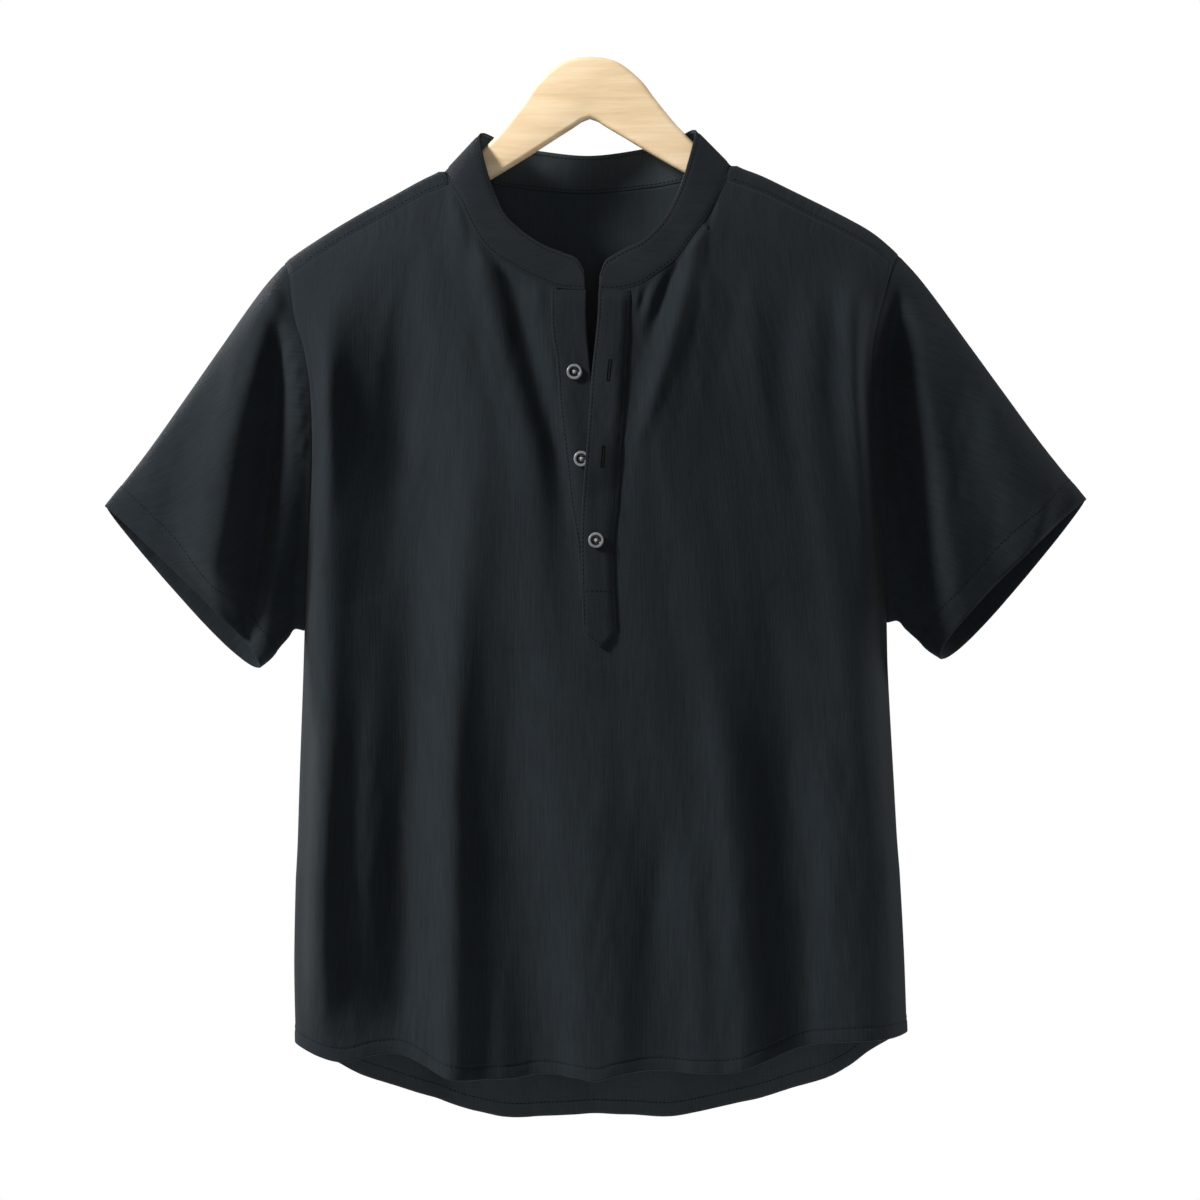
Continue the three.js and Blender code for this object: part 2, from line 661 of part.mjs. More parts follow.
// Sleeves. The cuff is a flat oval between its outer and inner corners. Its front edge
// is drawn up and its back edge hangs lower, so the hollow shows from the front.
const SLEEVE_RINGS = 9;
const leftCuff = {
  outer: [-362.5, -337.5],
  inner: [-247.5, -456.5],
  hang: [-0.72, -0.69],
  frontDepth: 20,
  backDepth: 23,
  frontRise: 6,
  backFall: 9.5,
};
const rightCuff = {
  outer: [371, -332.5],
  inner: [263, -450],
  hang: [0.735, -0.68],
  frontDepth: 20,
  backDepth: 23,
  frontRise: 8,
  backFall: 9,
};
// Bow of a sleeve's upper edge and of its underarm edge from a straight line, outwards
// and upwards, at each share of the length.
const sleeveBow = [
  { at: 0, upper: 0, under: 0 },
  { at: 0.11, upper: 2.5, under: 6 },
  { at: 0.3, upper: 2.5, under: 4 },
  { at: 0.55, upper: 0.5, under: 2 },
  { at: 0.78, upper: -1, under: 0 },
  { at: 1, upper: 0, under: 0 },
];

function sleeve(front, back, cuff, folds) {
  const ring = [...front, ...back.slice(1, -1).reverse()];
  const angles = ring.map((point, k) => {
    if (k <= ARMHOLE_CELLS) {
      return lerp(SEAM_ANGLE, Math.PI, k / ARMHOLE_CELLS);
    }
    return lerp(Math.PI, 2 * Math.PI + SEAM_ANGLE, (k - ARMHOLE_CELLS) / BACK_ARMHOLE_CELLS);
  });
  const soften = (value) => Math.sign(value) * Math.abs(value) ** CUFF_SQUARENESS;
  const rows = [];
  for (let k = 0; k <= SLEEVE_RINGS; k += 1) {
    const s = k / SLEEVE_RINGS;
    const row = ring.map((start, n) => {
      const up = (1 + soften(Math.cos(angles[n]))) / 2;
      const out = soften(Math.sin(angles[n]));
      const sag = lerp(1.35, 0.65, up) * out;
      const hang = -sag * (out > 0 ? cuff.frontRise : cuff.backFall);
      const endX = lerp(cuff.inner[0], cuff.outer[0], up) + cuff.hang[0] * hang;
      const endZ = lerp(cuff.inner[1], cuff.outer[1], up) + cuff.hang[1] * hang;
      const endY = -out * (out > 0 ? cuff.frontDepth : cuff.backDepth);
      const height = Math.cos(angles[n]);
      const bow = read(sleeveBow, "at", s, height > 0 ? "upper" : "under") * height ** 2;
      const x = lerp(start.x, endX, s) - cuff.hang[1] * Math.sign(start.x) * bow;
      const z = lerp(start.z, endZ, s) + Math.abs(cuff.hang[0]) * bow;
      const puff = -out * SLEEVE_PUFF * s * (1 - s) * (0.4 + 0.6 * up);
      const started = smooth(0, SLEEVE_CREASE_START, s);
      const crease = -Math.max(out, 0) * started * foldHeight(folds, x, z);
      return new THREE.Vector3(x, lerp(start.y, endY, s) + puff + crease, z);
    });
    rows.push(row);
  }
  return rows;
}

const leftSleeveRows = sleeve(frontOfLeft, backOfLeft, leftCuff, leftSleeveFolds);
const rightSleeveRows = sleeve(frontOfRight, backOfRight, rightCuff, rightSleeveFolds)
  .map((row) => row.reverse());

// Collar band, a few rows of points between its sewn base and its free edge.
const BAND_ROWS = 3;
const FRONT_END_CELLS = 4;
const bandStretches = [
  { from: 0, to: LEFT_SLOT_STATION, cells: FRONT_END_CELLS },
  { from: LEFT_SLOT_STATION, to: LEFT_SEAM_STATION, cells: NECK_CELLS },
  { from: LEFT_SEAM_STATION, to: RIGHT_SEAM_STATION, cells: BACK_NECK_CELLS },
  { from: RIGHT_SEAM_STATION, to: RIGHT_SLOT_STATION, cells: NECK_CELLS },
  { from: RIGHT_SLOT_STATION, to: lastStation, cells: FRONT_END_CELLS },
];
const bandPlaces = bandStretches.flatMap(({ from, to, cells }) => (
  Array.from({ length: cells }, (_, k) => lerp(from, to, k / cells))
));
bandPlaces.push(lastStation);
bandPlaces.reverse();
const collarRows = [];
for (let i = 0; i <= BAND_ROWS; i += 1) {
  const t = i / BAND_ROWS;
  collarRows.push(bandPlaces.map((place) => {
    const base = neckLine.getPoint(place / lastStation);
    const edge = collarEdge.getPoint(place / lastStation);
    return edge.lerp(base, t);
  }));
}

const sheets = {
  front: new Sheet("front", frontRows, CLOTH_WALL, {
    cut: (i, j) => i < slotCells && (j === middle - 1 || j === middle),
  }),
  back: new Sheet("back", backRows.map((row) => row.slice().reverse()), CLOTH_WALL),
  sleeve_left: new Sheet("sleeve_left", leftSleeveRows, CLOTH_WALL, { round: true }),
  sleeve_right: new Sheet("sleeve_right", rightSleeveRows, CLOTH_WALL, { round: true }),
  collar_band: new Sheet("collar_band", collarRows, BAND_WALL),
};

// Placket strips lie on the front panel and follow it, one wall further out each.
const strips = [
  { z: -181.5, underOut: -27.8, underIn: -2.8, overIn: 6.9, overOut: 29.6 },
  { z: -197, underOut: -27.8, underIn: -2.9, overIn: 6.4, overOut: 28.5 },
  { z: -213, underOut: -27, underIn: -2.4, overIn: 5, overOut: 28.1 },
  { z: -229, underOut: -24.2, underIn: -1, overIn: 3.2, overOut: 26.8 },
  { z: -244, underOut: -22.9, underIn: 0.5, overIn: 1.7, overOut: 26 },
  { z: -259, underOut: -22.2, underIn: 2.5, overIn: 0.6, overOut: 25.2 },
  { z: -275, underOut: -20.5, underIn: 5, overIn: -0.5, overOut: 24.4 },
  { z: -305, underOut: -17.1, underIn: 8, overIn: -2.6, overOut: 22 },
  { z: -336, underOut: -13.7, underIn: 10.5, overIn: -5.1, overOut: 20.4 },
  { z: -352, underOut: -11, underIn: 10.5, overIn: -5.7, overOut: 18.4 },
  { z: -367, underOut: -8.5, underIn: 10.5, overIn: -6, overOut: 17.4 },
  { z: -398, underOut: -6.6, underIn: 11, overIn: -5.4, overOut: 17.9 },
  { z: -442, underOut: -5.6, underIn: 12, overIn: -4.2, overOut: 20.6 },
];
const STRIP_COLUMNS = 4;
const STRIP_ROWS = 20;
const STRIP_TOP = -181.9;
const UNDER_END = -407;
const OVER_LEFT_END = -432;
const OVER_POINT = -441.5;
const OVER_RIGHT_END = -429.5;
const stripTable = strips.slice().reverse();

function panelDepth(x, z) {
  for (let i = 0; i < frontRows.length - 1; i += 1) {
    for (let j = 0; j < frontColumns; j += 1) {
      const a = frontRows[i][j];
      const b = frontRows[i + 1][j];
      const c = frontRows[i + 1][j + 1];
      const d = frontRows[i][j + 1];
      for (const [p, q, r] of [[a, b, c], [a, c, d]]) {
        const area = (q.x - p.x) * (r.z - p.z) - (r.x - p.x) * (q.z - p.z);
        const s = ((x - p.x) * (r.z - p.z) - (r.x - p.x) * (z - p.z)) / area;
        const t = ((q.x - p.x) * (z - p.z) - (x - p.x) * (q.z - p.z)) / area;
        if (s >= -1e-9 && t >= -1e-9 && s + t <= 1 + 1e-9) {
          return p.y + s * (q.y - p.y) + t * (r.y - p.y);
        }
      }
    }
  }
  return frontRows[0][middle].y;
}

const layer = CLOTH_WALL + LAYER_GAP;
const underLift = layer + 0.2;

const buttons = [
  { name: "button_1", x: -11.3, z: -241.2, lift: underLift },
  { name: "button_2", x: -6, z: -304.5, lift: underLift },
  { name: "button_3", x: 4.4, z: -363.8, lift: 2 * layer },
];

// The over strip lies on the under strip, drops to the panel at its sewn outer edge, and
// rises softly where a button is caught below its inner edge.
const UNDER_STRIP_SHARE = 0.78;

function overLift(x, z, across) {
  const hidden = buttons[1];
  const near = Math.hypot((x - hidden.x) / 1.5, (z - hidden.z) / 1.4) / BUTTON_DIAMETER;
  const rise = (BUTTON_THICKNESS + LAYER_GAP) * (1 - smooth(0.55, 1.25, near));
  return lerp(2 * layer, layer, smooth(UNDER_STRIP_SHARE, 1, across)) + rise;
}

function strip(inner, outer, ends, lift) {
  const rows = [];
  for (let i = 0; i <= STRIP_ROWS; i += 1) {
    const row = [];
    for (let j = 0; j <= STRIP_COLUMNS; j += 1) {
      const across = j / STRIP_COLUMNS;
      const z = lerp(STRIP_TOP, ends(across), i / STRIP_ROWS);
      const x = lerp(read(stripTable, "z", z, inner), read(stripTable, "z", z, outer), across);
      row.push(new THREE.Vector3(x, panelDepth(x, z) - lift(x, z, across), z));
    }
    rows.push(row);
  }
  return rows;
}

sheets.placket_under = new Sheet(
  "placket_under",
  strip("underOut", "underIn", () => UNDER_END, () => underLift),
  CLOTH_WALL,
);
sheets.placket_over = new Sheet(
  "placket_over",
  strip("overIn", "overOut", (across) => {
    return across < 0.5
      ? lerp(OVER_LEFT_END, OVER_POINT, across * 2)
      : lerp(OVER_POINT, OVER_RIGHT_END, across * 2 - 1);
  }, overLift),
  CLOTH_WALL,
);

const seams = collectSeams([
  sheets.front,
  sheets.back,
  sheets.sleeve_left,
  sheets.sleeve_right,
  sheets.collar_band,
]);
for (const sheet of Object.values(sheets)) {
  const look = sheet.name.startsWith("collar") || sheet.name.startsWith("placket") ? bandCloth : cloth;
  addMesh(sheet.name, sheet.geometry(seams), look);
}

// Buttons, round with a raised rim and a dished middle, each held flat on its strip.
const radius = BUTTON_DIAMETER / 2;
const buttonProfile = [
  new THREE.Vector2(0, 0),
  new THREE.Vector2(radius - 0.7, 0),
  new THREE.Vector2(radius, 0.7),
  new THREE.Vector2(radius, BUTTON_THICKNESS - 0.7),
  new THREE.Vector2(radius - 0.6, BUTTON_THICKNESS),
  new THREE.Vector2(radius - 1.6, BUTTON_THICKNESS),
  new THREE.Vector2(radius - 2.4, BUTTON_THICKNESS - 0.9),
  new THREE.Vector2(0, BUTTON_THICKNESS - 1.1),
];
for (const button of buttons) {
  const { x, z } = button;
  const half = radius / 2;
  const slopeX = (panelDepth(x + half, z) - panelDepth(x - half, z)) / radius;
  const slopeZ = (panelDepth(x, z + half) - panelDepth(x, z - half)) / radius;
  const facing = new THREE.Vector3(slopeX, -1, slopeZ).normalize();
  const mesh = addMesh(button.name, new THREE.LatheGeometry(buttonProfile, BUTTON_SIDES), buttonPlastic);
  mesh.quaternion.setFromUnitVectors(new THREE.Vector3(0, 1, 0), facing);
  const clear = button.lift + CLOTH_WALL / 2 + BUTTON_GAP;
  mesh.position.set(x, panelDepth(x, z), z).addScaledVector(facing, clear);
}

// Hanger, a flat shaped plate: a dome in the middle and two arms that follow the
// shoulders. Half of its outline is given and the other half mirrors it.
const hangerTop = [
  { x: 0, z: 0 },
  { x: 12, z: -1.4 },
  { x: 24, z: -6 },
  { x: 39, z: -18.8 },
  { x: 49.5, z: -33 },
  { x: 64.5, z: -52 },
  { x: 80, z: -68 },
  { x: 92, z: -80.5 },
  { x: 106, z: -90 },
  { x: 127, z: -94.3 },
  { x: 145, z: -103.8 },
  { x: 180, z: -122.9 },
  { x: 194, z: -133.9 },
];
const HANGER_APEX = -46.4;
const hangerUnder = [
  { x: 188, z: -149.5 },
  { x: 150, z: -127 },
  { x: 80, z: -93.5 },
  { x: 20, z: -57.5 },
  { x: 6, z: -48.6 },
];

function hangerShape() {
  const upper = new THREE.SplineCurve(hangerTop.map(({ x, z }) => new THREE.Vector2(x, z)));
  const under = new THREE.SplineCurve(hangerUnder.map(({ x, z }) => new THREE.Vector2(x, z)));
  const tip = new THREE.EllipseCurve(194.5, -144, 8.4, 8.4, 1.35, -1.4, true);
  const outline = [...upper.getPoints(22), ...tip.getPoints(5), ...under.getPoints(8)];
  const right = outline.filter((p, k) => k === 0 || p.distanceTo(outline[k - 1]) > 1);
  const left = right.slice(1).reverse().map((p) => new THREE.Vector2(-p.x, p.y));
  return new THREE.Shape([...right, new THREE.Vector2(0, HANGER_APEX), ...left]);
}

const hangerGeometry = new THREE.ExtrudeGeometry(hangerShape(), {
  depth: HANGER_THICKNESS - 2 * HANGER_EDGE_ROUND,
  bevelEnabled: true,
  bevelThickness: HANGER_EDGE_ROUND,
  bevelSize: HANGER_EDGE_ROUND,
  bevelOffset: -HANGER_EDGE_ROUND,
  bevelSegments: 2,
  curveSegments: 1,
});
hangerGeometry.translate(0, 0, -HANGER_THICKNESS / 2 + HANGER_EDGE_ROUND);
hangerGeometry.rotateX(Math.PI / 2);
hangerGeometry.rotateY(-HANGER_TILT);
hangerGeometry.translate(HANGER_SHIFT, 0, 0);
addMesh("hanger", hangerGeometry, beech);

export default group;
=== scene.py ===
import math

import bpy
import numpy as np
from mathutils import Matrix, Vector
from mathutils.bvhtree import BVHTree


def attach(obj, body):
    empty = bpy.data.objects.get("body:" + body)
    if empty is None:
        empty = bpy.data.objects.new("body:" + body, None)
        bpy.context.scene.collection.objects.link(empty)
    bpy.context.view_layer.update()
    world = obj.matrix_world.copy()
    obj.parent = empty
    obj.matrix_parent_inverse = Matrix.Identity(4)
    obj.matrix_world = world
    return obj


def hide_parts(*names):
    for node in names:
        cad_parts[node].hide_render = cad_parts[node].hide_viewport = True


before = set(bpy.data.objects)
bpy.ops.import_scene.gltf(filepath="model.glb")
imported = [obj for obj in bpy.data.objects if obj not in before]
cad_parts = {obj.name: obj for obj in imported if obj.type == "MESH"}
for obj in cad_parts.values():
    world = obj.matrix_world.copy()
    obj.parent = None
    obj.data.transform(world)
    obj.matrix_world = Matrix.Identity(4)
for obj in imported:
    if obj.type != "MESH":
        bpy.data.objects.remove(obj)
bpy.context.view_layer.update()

scene = bpy.context.scene


# Studio.
# A level view from two metres in front. A soft light stands at the upper left, with weaker ones in
# front, at the right and behind. The shirt hangs in the air over a plain pale floor.
camera_data = bpy.data.cameras.new("camera")
camera_data.lens = 80
camera_data.sensor_width = 36
camera_data.sensor_fit = "HORIZONTAL"
camera_data.clip_end = 50
camera = bpy.data.objects.new("camera", camera_data)
camera.location = (0.0075, -2.0, -0.40725)
camera.rotation_euler = (math.pi / 2, 0, 0)
scene.collection.objects.link(camera)
scene.camera = camera
scene.view_settings.view_transform = "Standard"
scene.view_settings.look = "None"


SHIRT_MIDDLE = (0, 0, -0.4)


def soft_light(name, place, size, watts):
    data = bpy.data.lights.new(name, "AREA")
    data.shape = "DISK"
    data.size = size
    data.energy = watts
    light = bpy.data.objects.new(name, data)
    light.location = place
    light.rotation_euler = (Vector(SHIRT_MIDDLE) - Vector(place)).to_track_quat("-Z", "Y").to_euler()
    scene.collection.objects.link(light)


soft_light("key_light", (-2.3, -1.15, 1.3), 0.6, 150)
soft_light("fill_light", (0.1, -2.9, -0.35), 0.9, 12)
soft_light("side_light", (2.5, 0.35, 0.5), 0.8, 45)
soft_light("back_light", (-2.0, 1.8, 1.2), 0.8, 90)

world = bpy.data.worlds.new("pale_studio")
world.use_nodes = True
scene.world = world
world_nodes = world.node_tree.nodes
world_links = world.node_tree.links
lit_by = world_nodes["Background"]
seen = world_nodes.new("ShaderNodeBackground")
for background, strength in ((lit_by, 0.07), (seen, 1.0)):
    background.inputs["Color"].default_value = (1, 1, 1, 1)
    background.inputs["Strength"].default_value = strength
light_path = world_nodes.new("ShaderNodeLightPath")
seen_or_lit = world_nodes.new("ShaderNodeMixShader")
world_links.new(light_path.outputs["Is Camera Ray"], seen_or_lit.inputs[0])
world_links.new(lit_by.outputs[0], seen_or_lit.inputs[1])
world_links.new(seen.outputs[0], seen_or_lit.inputs[2])
world_links.new(seen_or_lit.outputs[0], world_nodes["World Output"].inputs["Surface"])

FLOOR_HEIGHT = -1.6
FLOOR_RADIUS = 2.0
FLOOR_SIDES = 96
floor_mesh = bpy.data.meshes.new("floor")
floor_rim = [
    (FLOOR_RADIUS * math.cos(a), FLOOR_RADIUS * math.sin(a), FLOOR_HEIGHT)
    for a in np.linspace(0, 2 * math.pi, FLOOR_SIDES, endpoint=False)
]
floor_mesh.from_pydata(floor_rim, [], [list(range(FLOOR_SIDES))])
floor = bpy.data.objects.new("floor", floor_mesh)
scene.collection.objects.link(floor)
floor_paint = bpy.data.materials.new("floor_paint")
floor_paint.use_nodes = True
floor_shader = floor_paint.node_tree.nodes["Principled BSDF"]
floor_shader.inputs["Base Color"].default_value = (0.8, 0.8, 0.79, 1)
floor_shader.inputs["Roughness"].default_value = 0.7
floor_mesh.materials.append(floor_paint)


# Hanger.
# A flat plate of pale beech, sawn to a dome and two sloping arms, with its edges rounded
# over and sanded. The grain runs along the arms. No hook shows.
MM = 0.001

hanger_top = [
    (0, 0), (12, -1.4), (24, -6), (39, -18.8), (49.5, -33), (64.5, -52), (80, -68),
    (92, -80.5), (106, -90), (127, -94.3), (145, -103.8), (180, -122.9), (194, -133.9),
]
hanger_under = [(188, -149.5), (150, -127), (80, -93.5), (20, -57.5), (6, -48.6)]
HANGER_APEX = (0, -46.4)
HANGER_TIP = (194.5, -144, 8.4)
HANGER_THICKNESS = 10
HANGER_EDGE_ROUND = 3.6
HANGER_TILT = math.radians(0.9)
HANGER_SHIFT = -0.8
HANGER_LEAST_STEP = 1.2


def catmull(points, at, closed=False):
    """Points of a smooth curve through the given points, at places counted in points."""
    points = np.asarray(points, float)
    count = len(points)
    at = np.asarray(at, float)
    if closed:
        at = np.mod(at, count)
        low = np.floor(at).astype(int)
        t = (at - low)[:, None]
        p0, p1, p2, p3 = (points[(low + k) % count] for k in (-1, 0, 1, 2))
    else:
        low = np.clip(np.floor(at).astype(int), 0, count - 2)
        t = (at - low)[:, None]
        padded = np.vstack([2 * points[0] - points[1], points, 2 * points[-1] - points[-2]])
        p0, p1, p2, p3 = (padded[low + k] for k in (0, 1, 2, 3))
    start, end = (p2 - p0) / 2, (p3 - p1) / 2
    return (
        (2 * p1 - 2 * p2 + start + end) * t**3
        + (3 * p2 - 3 * p1 - 2 * start - end) * t**2
        + start * t
        + p1
    )


def new_object(name, verts, faces, materials, uv=None):
    """A mesh object from points in millimetres, with its UVs given for each point."""
    mesh = bpy.data.meshes.new(name)
    mesh.from_pydata((np.asarray(verts) * MM).tolist(), [], faces)
    if uv is not None:
        layer = mesh.uv_layers.new(name="cut")
        corner = np.zeros(len(mesh.loops), int)
        mesh.loops.foreach_get("vertex_index", corner)
        layer.data.foreach_set("uv", (np.asarray(uv) * MM)[corner].ravel())
    for material in materials:
        mesh.materials.append(material)
    mesh.shade_smooth()
    mesh.validate()
    mesh.update()
    piece = bpy.data.objects.new(name, mesh)
    scene.collection.objects.link(piece)
    return piece


def hanger_outline():
    """The plate's outline, its left half the mirror of its right half."""
    upper = catmull(hanger_top, np.linspace(0, len(hanger_top) - 1, 70))
    under = catmull(hanger_under, np.linspace(0, len(hanger_under) - 1, 34))
    turn = np.linspace(1.30, -1.25, 14)
    tip_x, tip_z, tip_radius = HANGER_TIP
    tip = np.c_[tip_x + tip_radius * np.cos(turn), tip_z + tip_radius * np.sin(turn)]
    right = [np.array(p) for p in (*upper, *tip, *under)]
    kept = [right[0]]
    for point in right[1:]:
        if np.linalg.norm(point - kept[-1]) > HANGER_LEAST_STEP:
            kept.append(point)
    left = [np.array((-x, z)) for x, z in reversed(kept[1:])]
    return np.array([*kept, np.array(HANGER_APEX), *left])


def make_hanger():
    """The outline drawn in from layer to layer, so that the plate's edge is a quarter round."""
    outline = hanger_outline()
    ahead = np.roll(outline, -1, 0) - outline
    ahead /= np.linalg.norm(ahead, axis=1)[:, None]
    behind = np.roll(ahead, 1, 0)
    inward = np.c_[ahead[:, 1] + behind[:, 1], -ahead[:, 0] - behind[:, 0]]
    inward /= np.maximum(np.linalg.norm(inward, axis=1), 0.9)[:, None]
    half = HANGER_THICKNESS / 2
    layers = []
    for angle in np.linspace(0, math.pi / 2, 6):
        draw_in = HANGER_EDGE_ROUND * (1 - math.sin(angle))
        height = half - HANGER_EDGE_ROUND * (1 - math.cos(angle))
        layers.append((draw_in, height))
    layers = layers + [(draw_in, -height) for draw_in, height in reversed(layers)]
    count = len(outline)
    verts, faces = [], []
    for draw_in, height in layers:
        ring = outline + inward * draw_in
        verts.extend((x, -height, z) for x, z in ring)
    for k in range(len(layers) - 1):
        for n in range(count):
            m = (n + 1) % count
            faces.append([k * count + n, (k + 1) * count + n, (k + 1) * count + m, k * count + m])
    verts = np.array(verts)
    last = (len(layers) - 1) * count
    faces.append(list(range(count)))
    faces.append([last + n for n in reversed(range(count))])
    spin = np.array(Matrix.Rotation(-HANGER_TILT, 3, "Y"))
    verts = verts @ spin.T + np.array([HANGER_SHIFT, 0, 0])
    return new_object("beech_hanger", verts, faces, [beech])


def node_material(name):
    """An empty procedural material and short ways to add and join its nodes."""
    material = bpy.data.materials.new(name)
    material.use_nodes = True
    tree = material.node_tree
    shader = tree.nodes["Principled BSDF"]

    def add(kind, **values):
        node = tree.nodes.new("ShaderNode" + kind)
        for key, value in values.items():
            if hasattr(node, key):
                setattr(node, key, value)
            else:
                node.inputs[key.replace("_", " ")].default_value = value
        return node

    def join(source, target):
        tree.links.new(source, target)

    return material, shader, add, join


def ramp(add, join, source, stops):
    """A colour ramp on a source, with rows of place and colour."""
    node = add("ValToRGB")
    elements = node.color_ramp.elements
    while len(elements) < len(stops):
        elements.new(0.5)
    for element, (place, colour) in zip(elements, stops):
        element.position = place
        element.color = (*colour, 1)
    join(source, node.inputs["Fac"])
    return node.outputs["Color"]


def surface(shader, add, join, relief, strength, distance, rough=None, **sockets):
    """Low relief, roughness as a source and its two ends, and plain values on the shader."""
    if rough is not None:
        source, low, high = rough
        spread = add("MapRange", To_Min=low, To_Max=high)
        join(source, spread.inputs["Value"])
        join(spread.outputs[0], shader.inputs["Roughness"])
    bump = add("Bump", Strength=strength, Distance=distance)
    join(relief, bump.inputs["Height"])
    join(bump.outputs[0], shader.inputs["Normal"])
    for socket, value in sockets.items():
        shader.inputs[socket.replace("_", " ")].default_value = value


MIX_COLOUR_A, MIX_COLOUR_B, MIX_COLOUR_OUT = 6, 7, 2


def make_beech():
    material, shader, add, join = node_material("beech")
    place = add("TexCoord")
    along = add("Mapping")
    along.inputs["Scale"].default_value = (6, 30, 55)
    join(place.outputs["Object"], along.inputs["Vector"])
    figure = add("TexNoise", Scale=1.6, Detail=5.0, Roughness=0.55, Distortion=0.6)
    join(along.outputs[0], figure.inputs["Vector"])
    fine = add("Mapping")
    fine.inputs["Scale"].default_value = (40, 300, 900)
    join(place.outputs["Object"], fine.inputs["Vector"])
    flecks = add("TexNoise", Scale=1.0, Detail=3.0, Roughness=0.6)
    join(fine.outputs[0], flecks.inputs["Vector"])
    grain = ramp(add, join, figure.outputs["Fac"], [
        (0.30, (0.80, 0.585, 0.350)),
        (0.50, (0.905, 0.690, 0.430)),
        (0.72, (0.955, 0.760, 0.520)),
    ])
    fleck_tint = ramp(add, join, flecks.outputs["Fac"], [(0.35, (0.90, 0.87, 0.83)), (0.6, (1, 1, 1))])
    mix = add("Mix", data_type="RGBA", blend_type="MULTIPLY")
    mix.inputs["Factor"].default_value = 0.55
    join(grain, mix.inputs[MIX_COLOUR_A])
    join(fleck_tint, mix.inputs[MIX_COLOUR_B])
    join(mix.outputs[MIX_COLOUR_OUT], shader.inputs["Base Color"])
    fac = flecks.outputs["Fac"]
    surface(
        shader, add, join, fac, 0.12, 0.0003, rough=(fac, 0.42, 0.58),
        Coat_Weight=0.12, Coat_Roughness=0.35,
    )
    return material


beech = make_beech()
hanger = make_hanger()
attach(hanger, "root")
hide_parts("hanger")


# Front panel.
# One panel of black-grey slub linen, slit at the centre for the placket. Its armholes,
# neck and sides are sewn to its neighbours, and its curved hem is turned up and stitched.
CLOTH_WALL = 1.2
FOLD_OVER_RADIUS = 10
FOLD_OVER_ANGLE = 0.95
FALL_LENGTH = 70
FRONT_DEPTH = 50
SIDE_ROUNDNESS = 3
ARMHOLE_TURN = 0.95
ARMHOLE_TURN_ROWS = 7
UPPER_SEAM_FADE = 0.14
CORNER_SOFTENING = 110
CORNER_SPREAD = 3
CORNER_OPENS = 0.04
CREASE_START = 0.09
CREASE_SIDE_FADE = 0.25
GATHER_START = 0.02
# Columns on either side of a neck corner that are drawn back into order, wholly and in part.
CORNER_NEAR, CORNER_FAR = 10, 22
# The cloth is relaxed within the first number of cells from the armpit and not past the
# second. It is held at its sides and free from the last distance inward.
RELAX_CELLS, RELAX_FADE = 2.0, 5.5
RELAX_FROM, RELAX_REACH = 0.5, 22
RELAX_PASSES = 220
# Every coarse cell of the pattern is divided into this many.
FINE = 6

ridge = np.array([
    (-232, -157), (-212, -142.8), (-180, -122.6), (-145, -103.5), (-124, -92.2), (-106, -85),
    (-80, -71), (-40, -56), (0, -50), (40, -55), (77, -68), (103, -80.8), (127, -89.2),
    (148, -99.2), (193, -121.5), (214, -134), (233, -150.5),
])


def lerp(a, b, t):
    return a + (b - a) * t


def smooth(low, high, value):
    t = np.clip((np.asarray(value, float) - low) / (high - low), 0, 1)
    return t * t * (3 - 2 * t)


def read(rows, at, column=1):
    """Reads a table at any place of its first column, along a smooth curve."""
    rows = np.asarray(rows, float)
    key, value = rows[:, 0], rows[:, column]
    at = np.asarray(at, float)
    row = np.clip(np.searchsorted(key, at, side="left") - 1, 0, len(key) - 2)
    before = np.maximum(np.arange(len(key)) - 1, 0)
    after = np.minimum(np.arange(len(key)) + 1, len(key) - 1)
    slope = (value[after] - value[before]) / (key[after] - key[before])
    span = key[row + 1] - key[row]
    t = np.clip((at - key[row]) / span, 0, 1)
    rise = t * t * (3 - 2 * t)
    lean = slope[row] * span * t * (1 - t) ** 2 - slope[row + 1] * span * t * t * (1 - t)
    return lerp(value[row], value[row + 1], rise) + lean


turn_length = FOLD_OVER_RADIUS * FOLD_OVER_ANGLE
turn_drop = FOLD_OVER_RADIUS * (1 - math.cos(FOLD_OVER_ANGLE))
turn_depth = FOLD_OVER_RADIUS * math.sin(FOLD_OVER_ANGLE)


def drop_after(run):
    """Drop below the shoulders' ridge after a run of cloth."""
    turned = FOLD_OVER_RADIUS * (1 - np.cos(np.minimum(run, turn_length) / FOLD_OVER_RADIUS))
    return np.where(run < turn_length, turned, turn_drop + run - turn_length)


def depth_after(run, full):
    """Distance from the middle plane after a run of cloth."""
    turned = FOLD_OVER_RADIUS * np.sin(np.minimum(run, turn_length) / FOLD_OVER_RADIUS)
    fallen = turn_depth + full * (1 - np.exp(np.minimum(turn_length - run, 0) / FALL_LENGTH))
    return np.where(run < turn_length, turned, fallen)


def run_to(x, z):
    drop = np.maximum(read(ridge, x) - z, 0)
    turned = FOLD_OVER_RADIUS * np.arccos(1 - np.minimum(drop, turn_drop) / FOLD_OVER_RADIUS)
    return np.where(drop < turn_drop, turned, turn_length + drop - turn_drop)


